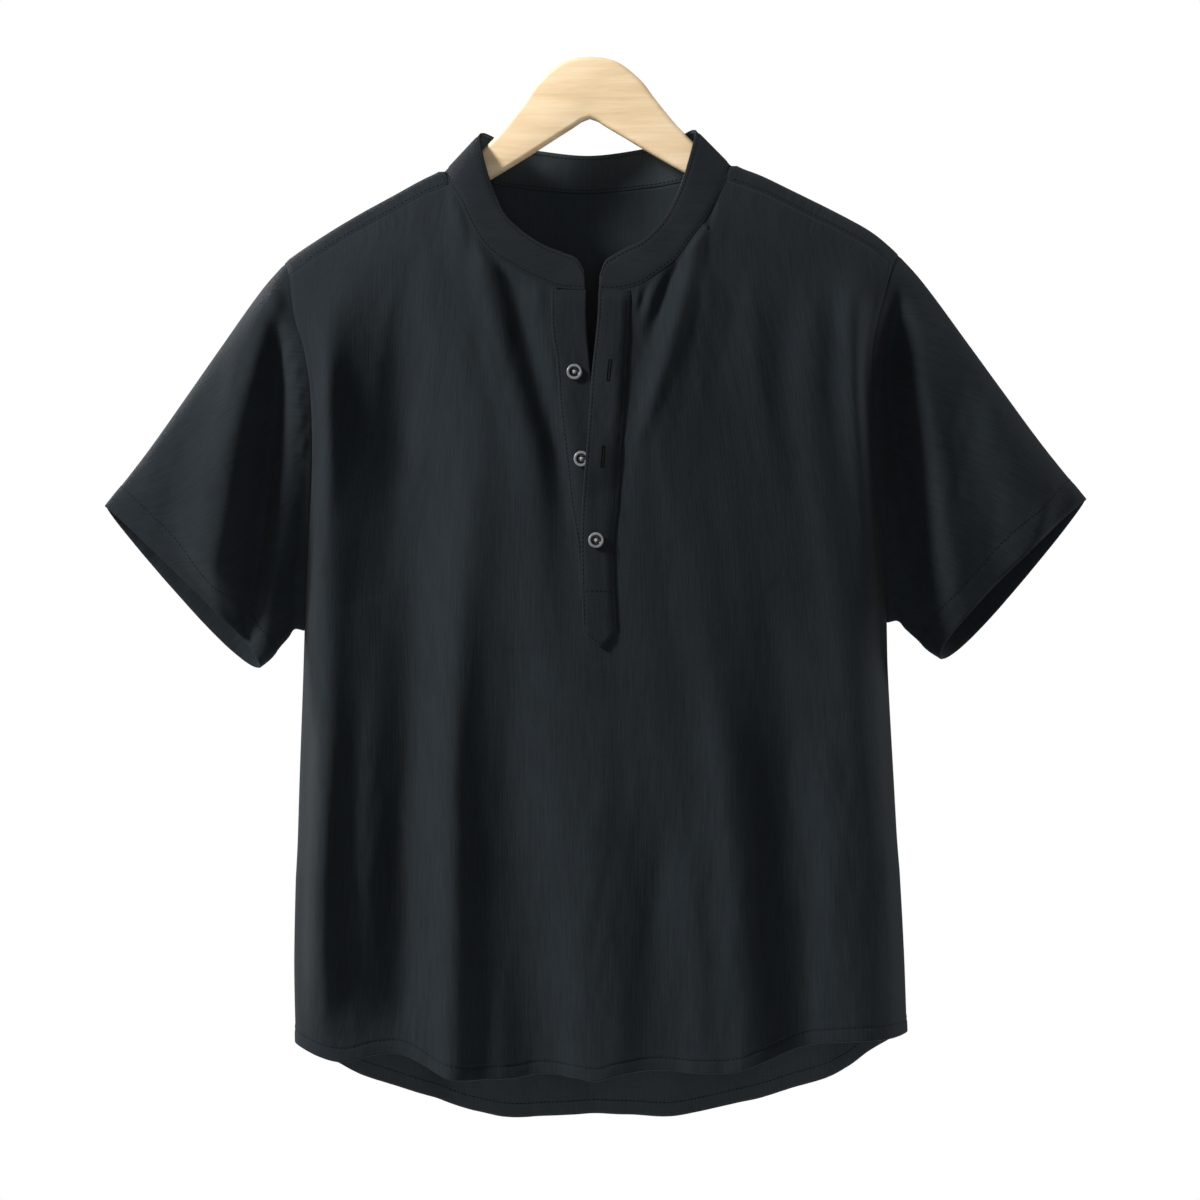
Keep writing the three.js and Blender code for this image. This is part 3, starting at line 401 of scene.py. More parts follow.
# Creases, each on a bent path through three places: x and z of each, half width, height
# (in where it is less than 0), and the shares over which it grows and dies.
front_folds = [
    (-193, -160, -191, -410, -199, -775, 13, 18, 0.22, 0.18),
    (-152, -130, -112, -400, -150, -800, 25, -23, 0.3, 0.15),
    (-104, -350, -101, -560, -100, -770, 14, 11, 0.3, 0),
    (-70, -390, -58, -590, -36, -765, 24, -11, 0.3, 0),
    (-4, -490, 6, -620, 8, -765, 24, 3.5, 0.4, 0),
    (44, -530, 48, -650, 50, -765, 18, -4, 0.4, 0),
    (98, -440, 104, -600, 116, -765, 17, 7, 0.35, 0),
    (134, -420, 146, -600, 160, -760, 22, -8, 0.3, 0),
    (196, -340, 202, -520, 208, -750, 27, 11, 0.3, 0),
    (190, -135, 196, -250, 208, -420, 11, 9, 0.25, 0.25),
    (182, -140, 190, -320, 203, -600, 30, 8, 0.25, 0.3),
    (88, -150, 66, -238, 38, -345, 15, 4.5, 0.15, 0.3),
    (-104, -112, -94, -140, -76, -180, 8, 3, 0.3, 0.5),
    # Finer creases that only the cloth itself shows.
    (90, -168, 66, -240, 48, -336, 11, -1.5, 0.25, 0.4),
    (86, -300, 81, -342, 71, -388, 4, 2.2, 0.4, 0.4),
    (94, -330, 88, -360, 80, -392, 4, -1.4, 0.4, 0.4),
    (118, -140, 122, -230, 118, -360, 12, 2.6, 0.3, 0.5),
    (158, -150, 162, -260, 160, -420, 14, 3.2, 0.3, 0.5),
    (-128, -150, -118, -220, -96, -320, 12, 2.2, 0.3, 0.4),
    (-176, -420, -172, -560, -182, -720, 12, -2.6, 0.3, 0.2),
    (-84, -520, -80, -640, -74, -765, 10, -2.2, 0.4, 0),
    (-30, -560, -26, -660, -20, -765, 11, -1.6, 0.4, 0),
    (74, -560, 78, -660, 80, -765, 10, 1.8, 0.4, 0),
    (126, -560, 132, -660, 140, -760, 10, -2.4, 0.4, 0),
    (176, -480, 174, -620, 178, -745, 12, 1.8, 0.4, 0),
]
# Small gathers that start right at the seams, where the cloth is caught by its stitching.
front_gathers = [
    (82, -126, 68, -210, 22, -322, 5.8, 4.8, 0.0, 0.35),
    (-84, -130, -56, -262, -16, -372, 11, 5.2, 0.12, 0.3),
    (-68, -130, -38, -262, -4, -378, 8.5, -5.6, 0.12, 0.3),
    (63, -156, 52, -192, 37, -236, 4, -2.6, 0.0, 0.5),
    (53, -163, 45, -188, 33, -216, 3.2, 2.0, 0.0, 0.5),
    (43, -170, 40, -184, 33, -204, 2.5, -1.3, 0.0, 0.5),
    (37, -173, 35, -186, 31, -200, 2.3, 1.2, 0.0, 0.5),
    (-100, -104, -96, -122, -86, -150, 5, 1.5, 0.0, 0.6),
    (94, -112, 92, -132, 84, -160, 5, 1.2, 0.0, 0.6),
    (-36, -176, -37, -190, -36, -206, 3, 0.8, 0.0, 0.6),
]
FOLD_STEPS = 24
# A crease is much longer than wide, so heights count this much where its distance is found.
FOLD_SQUEEZE = 0.35


def fold_height(folds, x, z):
    height = np.zeros_like(x)
    t = np.linspace(0, 1, FOLD_STEPS + 1)
    for x1, z1, x2, z2, x3, z3, wide, high, grow, die in folds:
        px = lerp(lerp(x1, x2, t), lerp(x2, x3, t), t)
        pz = lerp(lerp(z1, z2, t), lerp(z2, z3, t), t)
        nearest = np.full(x.shape, 1e9)
        share = np.zeros_like(x)
        for k in range(FOLD_STEPS):
            ax, az = px[k], FOLD_SQUEEZE * pz[k]
            bx, bz = px[k + 1] - ax, FOLD_SQUEEZE * pz[k + 1] - az
            s = np.clip(((x - ax) * bx + (FOLD_SQUEEZE * z - az) * bz) / (bx * bx + bz * bz), 0, 1)
            distance = np.hypot(x - ax - s * bx, FOLD_SQUEEZE * z - az - s * bz)
            closer = distance < nearest
            nearest = np.where(closer, distance, nearest)
            share = np.where(closer, (k + s) / FOLD_STEPS, share)
        strength = smooth(0, max(grow, 0.001), share) * (1 - smooth(1 - die, 1.001, share))
        height += high * strength * np.exp(-((nearest / wide) ** 2))
    return height


SWELLS_EACH = 4
# Across, down and high: the size of each kind of swell.
swells = [(46, 300, 0.30), (30, 190, 0.20), (19, 100, 0.12), (12, 46, 0.08), (9, 16, 0.06)]


def ripples(x, z, seed):
    """Low uneven swells of hanging linen, longer down the cloth than across it."""
    chance = np.random.default_rng(seed)
    total = np.zeros_like(x)
    for across, down, high in swells:
        for _ in range(SWELLS_EACH):
            kx = 2 * math.pi / (across * chance.uniform(0.8, 1.3))
            kz = 2 * math.pi / (down * chance.uniform(0.8, 1.3)) * chance.choice((-1, 1))
            bend = 0.8 * np.sin(kz * 0.7 * z + chance.uniform(0, 6.3))
            total += high * 0.6 * np.sin(kx * x + kz * z + bend + chance.uniform(0, 6.3))
    return total


# Armholes, from the end of the forward shoulder seam down the front to the armpit in row
# 6, up the back, and over the shoulder's point in row 12.
left_armhole = [
    (-223.5, -14, -166), (-219, -24, -196), (-211, -30, -222), (-206, -32, -255),
    (-205, -28, -304), (-209, -16, -366), (-213.5, 0, -430), (-210, 20, -366),
    (-209, 32, -300), (-213, 34, -244), (-220, 27, -200), (-226, 13.5, -168), (-228.5, 0, -155.6),
]
right_armhole = [
    (225, -14, -158.5), (216, -23, -187), (209, -27, -220), (208, -27, -257),
    (212, -23, -306), (218, -13, -366), (222, 0, -424), (219, 20, -364),
    (216, 32, -298), (217, 34, -240), (223, 27, -195), (228, 13.5, -162), (230.5, 0, -148.8),
]
ARMPIT_ROW = 6
RING_ROWS = len(left_armhole)
# Share of the side seam, then x at left and right, then z at left and right.
side_seams = [
    (0, -213.5, 222, -430, -424),
    (0.12, -214.6, 222.8, -466, -460),
    (0.45, -217.8, 228, -560, -556),
    (0.8, -220.5, 234, -672, -666),
    (1, -219.5, 236.3, -736, -728.5),
]
front_hem = [
    (-220, -736), (-183, -746), (-158, -741), (-138, -741.5), (-104, -755), (-62, -756.5),
    (-40, -753.5), (7, -757), (55, -750), (90, -751.5), (112, -750.5), (134, -743),
    (171, -731.5), (236.5, -728.5),
]
# Neck line that the collar is sewn to, from the left front end round the back.
collar_base = [
    (-3.5, -49.5, -180.3), (-10, -49.5, -180.0), (-23.4, -49, -178.6), (-38, -48, -172.8),
    (-58.6, -45.4, -161.9), (-74.6, -41.7, -150.2), (-86.3, -35.7, -133.6), (-96, -26, -113),
    (-104.6, -14.4, -98), (-107.5, 0.5, -85.8), (-92, 12.8, -88.5), (-66, 21.5, -93),
    (-36, 27.5, -96), (0, 29.5, -97.7), (43, 27, -94.2), (66.5, 21.5, -90.9), (90, 13, -86),
    (104.8, 0.5, -81.9), (100.8, -14, -94.2), (90.5, -26, -118.3), (77.2, -36.5, -137.4),
    (62.6, -43, -157.4), (48, -47, -169.1), (36.5, -48.6, -176.4), (25.5, -49.2, -179.6),
    (15, -49.5, -180.9), (7.5, -49.6, -181.1),
]
LEFT_SLOT, LEFT_SEAM, RIGHT_SEAM, RIGHT_SLOT = 2, 8, 18, 24
SHOULDER_CELLS, NECK_CELLS, BACK_NECK_CELLS = 6, 9, 16
ARMHOLE_CELLS, BACK_ARMHOLE_CELLS, SIDE_CELLS = 12, 14, 13
SLOT_CELLS = 1
# Rows near a hem lie at these distances from its edge, so that the turning shows.
HEM_ROWS = (15, 12.4, 10.2, 9.3, 8.4, 7.2, 5, 2.6, 1.1, 0)
HEM_STITCH = 8.4


SIDE_LENGTH = 305
EVEN_ROWS_END = 18


def side_shares():
    """Places down the side seam, close together in the turned hem."""
    even = np.linspace(0, 1 - EVEN_ROWS_END / SIDE_LENGTH, SIDE_CELLS * FINE)
    return np.concatenate([even, 1 - np.array(HEM_ROWS) / SIDE_LENGTH])


def arm_stretch(ring, backwards=False):
    cells = (BACK_ARMHOLE_CELLS if backwards else ARMHOLE_CELLS) * FINE
    end = ARMPIT_ROW - RING_ROWS if backwards else ARMPIT_ROW
    return catmull(ring, np.linspace(0, end, cells + 1), closed=True)


def side_points(x_column, z_column):
    shares = side_shares()[1:]
    return np.c_[read(side_seams, shares, x_column), 0 * shares, read(side_seams, shares, z_column)]


def shoulder_seam(station, tip):
    """The forward shoulder seam, drawn over the body's form from the neck to the armhole."""
    start = catmull(collar_base, [station])[0]
    t = np.linspace(0, 1, SHOULDER_CELLS * FINE + 1)
    start_run, end_run = run_to(start[0], start[2]), run_to(tip[0], tip[2])
    x = lerp(start[0], tip[0], t)
    run = lerp(start_run, end_run, t)
    start_error = start[1] + depth_after(start_run, FRONT_DEPTH)
    end_error = tip[1] + depth_after(end_run, FRONT_DEPTH)
    y = -depth_after(run, FRONT_DEPTH) + lerp(start_error, end_error, t)
    points = np.c_[x, y, read(ridge, x) - drop_after(run)]
    points[0], points[-1] = start, tip
    return points


LEAST_SPREAD = 0.3


def softened(values, spread):
    """Values along a row, blurred over a number of columns."""
    if spread < LEAST_SPREAD:
        return values
    column = np.arange(len(values))
    weights = np.exp(-0.5 * ((column[:, None] - column[None, :]) / spread) ** 2)
    return weights @ values / weights.sum(axis=1)


def run_along(line):
    """Distance along a line at each of its points."""
    return np.r_[0, np.cumsum(np.linalg.norm(np.diff(line, axis=0), axis=1))]


def points_at(at, far, line):
    """Points of a line at distances along it, from the distance of each of its own points."""
    return np.stack([np.interp(at, far, line[:, k]) for k in range(3)], axis=-1)


def line_through(strips):
    """A line and its outward directions. Each strip gives one point: the distance wanted,
    the distance of each of its points, those points and their outward directions."""
    pairs = [(points_at(at, far, line), points_at(at, far, facing)) for at, far, line, facing in strips]
    return tuple(np.array(part) for part in zip(*pairs))


def body_panel(
    top, left, right, stations, hem, face, full_depth, folds, seed, corners=(), widen=None, gathers=(),
):
    """A body panel between its seams. Its places across and down are blended from its four
    edges, its depth follows the fall of the cloth, and its sides turn in."""
    columns = len(top) - 1
    share = (1 + np.sin(math.pi * (np.arange(columns + 1) / columns - 0.5))) / 2

    def flat_run(points):
        return np.sign(points[:, 1] * face) * run_to(points[:, 0], points[:, 2])

    left_run, right_run, top_run = flat_run(left), flat_run(right), flat_run(top)
    below = stations >= stations_armpit - 2
    left_run[below] = run_to(left[below, 0], left[below, 2])
    right_run[below] = run_to(right[below, 0], right[below, 2])
    lengths = run_along(left)
    down = lengths / lengths[-1]
    hem_x = lerp(left[-1, 0], right[-1, 0], share)
    hem_run = run_to(hem_x, read(hem, hem_x))
    grid = np.zeros((len(left), columns + 1, 3))
    by_corner = np.zeros(columns + 1)
    for corner in corners:
        near = smooth(CORNER_FAR, CORNER_NEAR, np.abs(np.arange(columns + 1) - corner))
        by_corner = np.maximum(by_corner, near)
    in_left_half = np.arange(columns + 1) < columns / 2
    for i, v in enumerate(down):
        a, b = left[i], right[i]
        past_armpit = stations[i] - stations_armpit
        turned = lerp(ARMHOLE_TURN, 1, smooth(-ARMHOLE_TURN_ROWS, ARMHOLE_TURN_ROWS + 1, past_armpit))

        def rounded(u):
            return np.maximum(1 - np.abs(u * turned) ** SIDE_ROUNDNESS, 0) ** (1 / SIDE_ROUNDNESS)

        rest = rounded(1.0)

        def blend(at_top, at_hem, at_left, at_right, left_end, right_end):
            return (
                (1 - v) * at_top + v * at_hem + (1 - share) * at_left + share * at_right
                - (1 - v) * lerp(at_top[0], at_top[-1], share) - v * lerp(left_end, right_end, share)
            )

        x = blend(top[:, 0], hem_x, a[0], b[0], left[-1, 0], right[-1, 0])
        run = blend(top_run, hem_run, left_run[i], right_run[i], left_run[-1], right_run[-1])
        z = read(ridge, x) - drop_after(np.abs(run))
        if widen is not None and i > 0:
            x = widen(x, z)
        # Past the corners of the neck the columns run side by side again.
        from_right = np.minimum.accumulate(x[::-1])[::-1]
        in_order = np.where(in_left_half, np.maximum.accumulate(x), from_right)
        x = lerp(x, softened(in_order, CORNER_SPREAD), by_corner * smooth(0, CORNER_OPENS, v))
        to_side = np.clip(2 * (x - a[0]) / (b[0] - a[0]) - 1, -1, 1)
        hold = (rounded(to_side) - rest) / (1 - rest)
        formed = face * np.sign(run) * depth_after(np.abs(run), full_depth)
        edge = lerp(a[1], b[1], share)
        on_top = face * np.sign(top_run) * depth_after(np.abs(top_run), full_depth)
        top_error = top[:, 1] - lerp(lerp(top[0, 1], top[-1, 1], share), on_top, hold)
        top_rest = (1 - smooth(0, UPPER_SEAM_FADE, v)) * softened(top_error, CORNER_SOFTENING * v)
        near_seam = smooth(0, CREASE_START, v) * smooth(0, CREASE_SIDE_FADE, 1 - to_side**4)
        crease = face * near_seam * (fold_height(folds, x, z) + ripples(x, z, seed))
        crease += face * smooth(0, GATHER_START, v) * fold_height(gathers, x, z)
        grid[i] = np.c_[x, lerp(edge, formed, hold) + top_rest + crease, z]
        grid[i, 0], grid[i, -1] = a, b
    grid[0] = top
    relax_below_armpit(grid, stations)
    return grid


def relax_below_armpit(grid, stations):
    """Lets the cloth fall smoothly past the armpit, where the armhole's edge turns sharply."""
    far = run_along(grid[len(grid) // 2])
    inside = smooth(RELAX_FROM, RELAX_REACH, np.minimum(far, far[-1] - far))
    near = smooth(RELAX_FADE, RELAX_CELLS, np.abs(stations - stations_armpit))
    hold = near[1:-1, None] * inside[None, :]
    for _ in range(RELAX_PASSES):
        between = (grid[:-2, :, 1] + grid[2:, :, 1]) / 2
        grid[1:-1, :, 1] += hold * (between - grid[1:-1, :, 1])


# Where the panel is cut away between the placket strips: z, then its edges.
slot_edges = [
    (-591, -6.5, 16.5), (-440, -4.4, 15.4), (-398, -4.2, 14.8), (-352, -7.4, 15),
    (-305, -13, 17.8), (-259, -18.6, 20.6), (-213, -23.3, 24), (-180, -23.4, 25.5),
]
SLOT_END = -409

front_of_left, front_of_right = arm_stretch(left_armhole), arm_stretch(right_armhole)
left_side, right_side = side_points(1, 3), side_points(2, 4)
left_shoulder = shoulder_seam(LEFT_SEAM, front_of_left[0])
right_shoulder = shoulder_seam(RIGHT_SEAM, front_of_right[0])
left_neck = catmull(collar_base, np.linspace(LEFT_SEAM, LEFT_SLOT, NECK_CELLS * FINE + 1))
right_neck = catmull(collar_base, np.linspace(RIGHT_SLOT, RIGHT_SEAM, NECK_CELLS * FINE + 1))
slot_columns = 2 * SLOT_CELLS * FINE
across_slot = [lerp(left_neck[-1], right_neck[0], t) for t in np.arange(1, slot_columns) / slot_columns]
front_top = np.vstack([left_shoulder[::-1], left_neck[1:], across_slot, right_neck, right_shoulder[1:]])
front_middle = (len(front_top) - 1) // 2


def panel_stations(armhole_cells):
    """Places down a panel's edge, counted in cells: the armhole's, then the side seam's."""
    armhole = np.arange(armhole_cells * FINE + 1) / FINE
    return np.r_[armhole, armhole_cells + SIDE_CELLS * side_shares()[1:]]


front_stations = panel_stations(ARMHOLE_CELLS)
stations_armpit = ARMHOLE_CELLS


def follow_slot(x, z):
    """The columns beside the placket follow the edges of its slot."""
    step = np.arange(len(x)) - front_middle
    left_line, right_line = read(slot_edges, z, 1), read(slot_edges, z, 2)
    left_drift = (left_line - x)[front_middle - FINE]
    right_drift = (right_line - x)[front_middle + FINE]
    away = np.abs(step) / FINE - 1
    fade = np.clip(1 - np.maximum(away, 0) / (NECK_CELLS - 1), 0, 1)
    across = lerp(left_line, right_line, (step + FINE) / (2 * FINE))
    return np.where(np.abs(step) <= FINE, across, x + fade * np.where(step < 0, left_drift, right_drift))


front_grid = body_panel(
    front_top,
    np.vstack([front_of_left, left_side]),
    np.vstack([front_of_right, right_side]),
    front_stations, front_hem, -1, FRONT_DEPTH, front_folds, seed=3, widen=follow_slot, gathers=front_gathers,
)


def sheet_normals(grid, cells):
    """Outward direction at each point of a grid, from the cells that are there."""
    columns = grid.shape[1]
    nxt = (np.arange(columns) + 1) % columns
    a, b = grid[:-1], grid[1:]
    c, d = grid[1:, nxt], grid[:-1, nxt]
    facing = np.cross(c - a, d - b) * cells[..., None]
    normals = np.zeros_like(grid)
    for beside in (facing, np.roll(facing, 1, axis=1)):
        normals[:-1] += beside
        normals[1:] += beside
    size = np.linalg.norm(normals, axis=2, keepdims=True)
    return normals / np.maximum(size, 1e-9)


# How far a free edge is rounded out past its cut, in walls.
EDGE_ROUND = 0.42


def paint_faces(piece, faces):
    """Gives some faces of a piece its second material."""
    for k in faces:
        piece.data.polygons[k].material_index = 1


def cloth_piece(name, grid, material, relief, wall=CLOTH_WALL, cut=None, rolled=False, painted_light_inside=None):
    """A closed wall of cloth from a grid of points, with its free edges rounded over.
    Relief lifts the outer skin, as where a hem is turned under it."""
    rows, columns = grid.shape[:2]
    cells = np.ones((rows - 1, columns), bool)
    if not rolled:
        cells[:, -1] = False
    if cut is not None:
        cells[:, : cut.shape[1]] &= ~cut
    normals = sheet_normals(grid, cells)
    index = np.arange(rows * columns).reshape(rows, columns)
    nxt = np.roll(index, -1, axis=1)
    quads = np.stack([index[:-1], index[1:], nxt[1:], nxt[:-1]], axis=-1)[cells]
    used = np.unique(quads)
    place = np.full(rows * columns, -1)
    place[used] = np.arange(len(used))
    quads = place[quads]
    points = grid.reshape(-1, 3)[used]
    facing = normals.reshape(-1, 3)[used]
    lift = relief.reshape(-1)[used]
    count = len(used)
    sides = {(quad[k], quad[(k + 1) % 4]): True for quad in quads.tolist() for k in range(4)}
    border = [(a, b) for a, b in sides if (b, a) not in sides]
    along = np.zeros((count, 3))
    for a, b in border:
        edge = points[b] - points[a]
        edge /= max(np.linalg.norm(edge), 1e-9)
        along[a] += edge
        along[b] += edge
    rim = sorted({n for pair in border for n in pair})
    rim_place = {n: 2 * count + k for k, n in enumerate(rim)}
    outer = points + facing * (wall / 2 + lift)[:, None]
    inner = points - facing * (wall / 2)
    outward = np.cross(along[rim], facing[rim])
    outward /= np.maximum(np.linalg.norm(outward, axis=1, keepdims=True), 1e-9)
    middle = (outer[rim] + inner[rim]) / 2 + outward * wall * EDGE_ROUND
    verts = np.vstack([outer, inner, middle])
    faces = quads.tolist() + (quads[:, ::-1] + count).tolist()
    for a, b in border:
        am, bm = rim_place[a], rim_place[b]
        faces.append([a, am, bm, b])
        faces.append([am, a + count, b + count, bm])
    width = np.linalg.norm(np.diff(grid, axis=1), axis=2)
    u = np.c_[np.zeros(rows), np.cumsum(width, axis=1)]
    u -= u[:, [columns // 2]]
    height = np.linalg.norm(np.diff(grid, axis=0), axis=2)
    v = np.vstack([np.zeros(columns), np.cumsum(height, axis=0)])
    flat = np.stack([u, -v], axis=-1).reshape(-1, 2)[used]
    uv = np.vstack([flat, flat, flat[rim]])
    if painted_light_inside is None:
        piece = new_object(name, verts, faces, [material], uv)
    else:
        # The inner skin takes the second material, the lighter linen: painted light in the shaded inside.
        piece = new_object(name, verts, faces, [material, painted_light_inside], uv)
        paint_faces(piece, range(len(quads), 2 * len(quads)))
    skin = grid + normals * (wall / 2 + relief[..., None])
    return piece, skin, normals


def make_linen(name, dark, light, slub=0.4):
    """Slub linen: uneven threads both ways, a few thick ones, and a dry, slightly hairy face."""
    material, shader, add, join = node_material(name)
    place = add("UVMap")
    place.uv_map = "cut"

    def threads(across, down, detail, seed):
        stretch = add("Mapping")
        stretch.inputs["Scale"].default_value = (across, down, 1)
        stretch.inputs["Location"].default_value = (seed, seed * 0.7, 0)
        join(place.outputs[0], stretch.inputs["Vector"])
        noise = add("TexNoise", noise_dimensions="2D", Scale=1.0, Detail=detail, Roughness=0.6)
        join(stretch.outputs[0], noise.inputs["Vector"])
        return noise.outputs["Fac"]

    def math_node(kind, a, b):
        node = add("Math", operation=kind)
        for slot_number, value in enumerate((a, b)):
            if isinstance(value, (int, float)):
                node.inputs[slot_number].default_value = value
            else:
                join(value, node.inputs[slot_number])
        return node.outputs[0]

    warp = threads(1500, 55, 2, 3)
    weft = threads(70, 1300, 2, 11)
    slubs = threads(620, 26, 3, 7)
    cloud = threads(26, 14, 4, 5)
    weave = math_node("ADD", math_node("MULTIPLY", warp, 0.55), math_node("MULTIPLY", weft, 0.45))
    height = math_node("ADD", weave, math_node("MULTIPLY", slubs, slub))
    tone = math_node("ADD", math_node("MULTIPLY", slubs, 0.5), math_node("MULTIPLY", cloud, 0.2))
    tone = math_node("ADD", tone, math_node("MULTIPLY", weave, 0.3))
    middle = tuple((a + b) / 2 for a, b in zip(dark, light))
    colour = ramp(add, join, tone, [(0.36, dark), (0.50, middle), (0.66, light)])
    join(colour, shader.inputs["Base Color"])
    surface(
        shader, add, join, height, 0.55, 0.0006, rough=(slubs, 0.78, 0.96),
        Specular_IOR_Level=0.12, Sheen_Weight=0.02, Sheen_Roughness=0.6,
    )
    return material


linen = make_linen("black_slub_linen", (0.0069, 0.0097, 0.0123), (0.0131, 0.0179, 0.0221))
# A lighter copy of the linen for the inner skin of the back panel and the collar band: painted light, which
# lifts the shaded inside of the neck and hem to the brightness of the lit outside.
linen_painted_inside_light = make_linen("black_linen_painted_inside_light", (0.0235, 0.0305, 0.0360), (0.0305, 0.0392, 0.0458))


HEM_RISE = 0.55
HEM_DIP, HEM_DIP_WIDTH = 0.7, 0.9


def dip_along(distance, depth, width):
    """A soft groove, as where stitching draws the cloth in."""
    return depth * np.exp(-((distance / width) ** 2))


def hem_relief(grid):
    """The outer skin stands out over the turned hem and dips along its stitching."""
    relief = np.zeros(grid.shape[:2])
    distances = np.array(HEM_ROWS)
    heights = HEM_RISE * smooth(HEM_STITCH + 3.6, HEM_STITCH + 0.6, distances)
    heights -= dip_along(distances - HEM_STITCH, HEM_DIP, HEM_DIP_WIDTH)
    relief[-len(HEM_ROWS):] += heights[:, None]
    return relief


columns_in_slot = np.abs(np.arange(len(front_top) - 1) + 0.5 - front_middle) < FINE
rows_in_slot = front_grid[:-1, front_middle, 2] >= SLOT_END
front_cut = rows_in_slot[:, None] & columns_in_slot[None, :]
front, front_skin, front_normals = cloth_piece(
    "linen_front", front_grid, linen, hem_relief(front_grid), cut=front_cut,
)
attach(front, "root")
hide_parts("front")

THREAD_RADIUS = 0.3
STITCH_LENGTH = 2.6
STITCH_STEP = 3.3
STITCH_SINK = 0.05
FIRST_STITCH = 0.3
STITCH_RINGS = 5
THREAD_SIDES = 6


def make_thread(name, colour):
    """Spun sewing thread: tone on tone, with the turns of its twist across it."""
    material, shader, add, join = node_material(name)
    place = add("TexCoord")
    noise = add("TexNoise", Scale=900.0, Detail=2.0)
    join(place.outputs["Object"], noise.inputs["Vector"])
    tint = ramp(add, join, noise.outputs["Fac"], [(0.3, tuple(0.7 * c for c in colour)), (0.7, colour)])
    join(tint, shader.inputs["Base Color"])
    surface(
        shader, add, join, noise.outputs["Fac"], 0.4, 0.0001,
        Roughness=0.55, Sheen_Weight=0.02, Specular_IOR_Level=0.1,
    )
    return material


# Black thread made near black, darker than the cloth: partly its own colour, partly painted shade of the
# stitched grooves along the seams, the placket and its box.
black_thread_with_seam_shade = make_thread("black_thread_painted_seam_shade", (0.0010, 0.0013, 0.0017))


def thread_piece(name, strands, material):
    """Short closed tubes of thread. A strand is the middle, the directions across and up,
    and the radius of each of its rings."""
    verts, faces = [], []
    for strand in strands:
        base = len(verts)
        for middle, across, up, radius in strand:
            for s in range(THREAD_SIDES):
                angle = 2 * math.pi * s / THREAD_SIDES
                verts.append(middle + radius * (math.cos(angle) * across + math.sin(angle) * up))
        last = len(verts) - THREAD_SIDES
        for a in range(base, last, THREAD_SIDES):
            for s in range(THREAD_SIDES):
                t = (s + 1) % THREAD_SIDES
                b = a + THREAD_SIDES
                faces.append([a + s, a + t, b + t, b + s])
        faces.append([base + s for s in reversed(range(THREAD_SIDES))])
        faces.append([last + s for s in range(THREAD_SIDES)])
    piece = new_object(name, np.array(verts), faces, [material])
    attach(piece, "root")
    return piece


def stitches(name, paths):
    """Rows of lock stitches, each a short bowed piece of thread that dips in at both ends.
    A path is its points and the outward direction at each."""
    strands = []
    bow = np.sin(np.linspace(0, math.pi, STITCH_RINGS)) ** 0.6
    thick = THREAD_RADIUS * (0.45 + 0.55 * bow)
    raised = THREAD_RADIUS * (0.9 * bow - 0.35) - STITCH_SINK
    for points, facing in paths:
        far = run_along(points)
        for start in np.arange(FIRST_STITCH, far[-1] - STITCH_LENGTH, STITCH_STEP):
            at = start + np.linspace(0, STITCH_LENGTH, STITCH_RINGS)
            centre, up = points_at(at, far, points), points_at(at, far, facing)
            up /= np.linalg.norm(up, axis=1, keepdims=True)
            ahead = centre[-1] - centre[0]
            ahead /= max(np.linalg.norm(ahead), 1e-9)
            across = np.cross(up, ahead)
            across /= np.linalg.norm(across, axis=1, keepdims=True)
            strands.append([*zip(centre + up * raised[:, None], across, up, thick)])
    return thread_piece(name, strands, black_thread_with_seam_shade)


hem_row = -len(HEM_ROWS) + HEM_ROWS.index(HEM_STITCH)


def hem_line(skin, normals):
    """The line of a hem's stitching, without the turnings at its ends."""
    return skin[hem_row, 2:-2], normals[hem_row, 2:-2]


front_hem_stitches = stitches("front_hem_stitches", [hem_line(front_skin, front_normals)])


# Back panel.
# One panel of the same linen, cut over the shoulders to the forward seams and longer than
# the front. Its inside takes a lighter copy of the linen: painted light in the shaded inside.
# It hangs on the arms of the hanger, and its curved hem is turned and stitched.
BACK_DEPTH = 44
back_folds = [
    (-168, -200, -158, -500, -172, -770, 22, -15, 0.3, 0),
    (-114, -250, -118, -560, -106, -795, 18, 13, 0.35, 0),
    (-58, -320, -50, -600, -60, -800, 18, -12, 0.4, 0),
    (8, -300, 2, -600, 4, -805, 21, 11, 0.4, 0),
    (64, -350, 68, -610, 60, -800, 17, -12, 0.4, 0),
    (122, -260, 124, -560, 112, -795, 19, 13, 0.35, 0),
    (174, -210, 168, -500, 180, -770, 21, -15, 0.3, 0),
    (-132, -140, -120, -230, -96, -330, 9, 2.2, 0.3, 0.5),
    (-70, -120, -66, -200, -40, -300, 8, -1.8, 0.3, 0.5),
    (80, -120, 72, -210, 50, -320, 8, 2.0, 0.3, 0.5),
    (136, -140, 130, -240, 108, -330, 9, -2.0, 0.3, 0.5),
    (30, -520, 34, -640, 30, -800, 8, 2.0, 0.4, 0),
    (-84, -560, -80, -680, -84, -800, 8, 2.2, 0.4, 0),
]
back_hem = [
    (-220, -735.5), (-210, -746), (-195, -757), (-150, -778), (-122, -789.5), (-104, -797.5),
    (-80, -801.5), (0, -804), (60, -802), (90, -799.5), (117, -795), (160, -778.5),
    (196, -762.5), (214, -749.5), (229, -738.5), (236.5, -729),
]
back_of_left, back_of_right = arm_stretch(left_armhole, True), arm_stretch(right_armhole, True)
back_neck = catmull(collar_base, np.linspace(LEFT_SEAM, RIGHT_SEAM, BACK_NECK_CELLS * FINE + 1))
back_stations = panel_stations(BACK_ARMHOLE_CELLS)
stations_armpit = BACK_ARMHOLE_CELLS
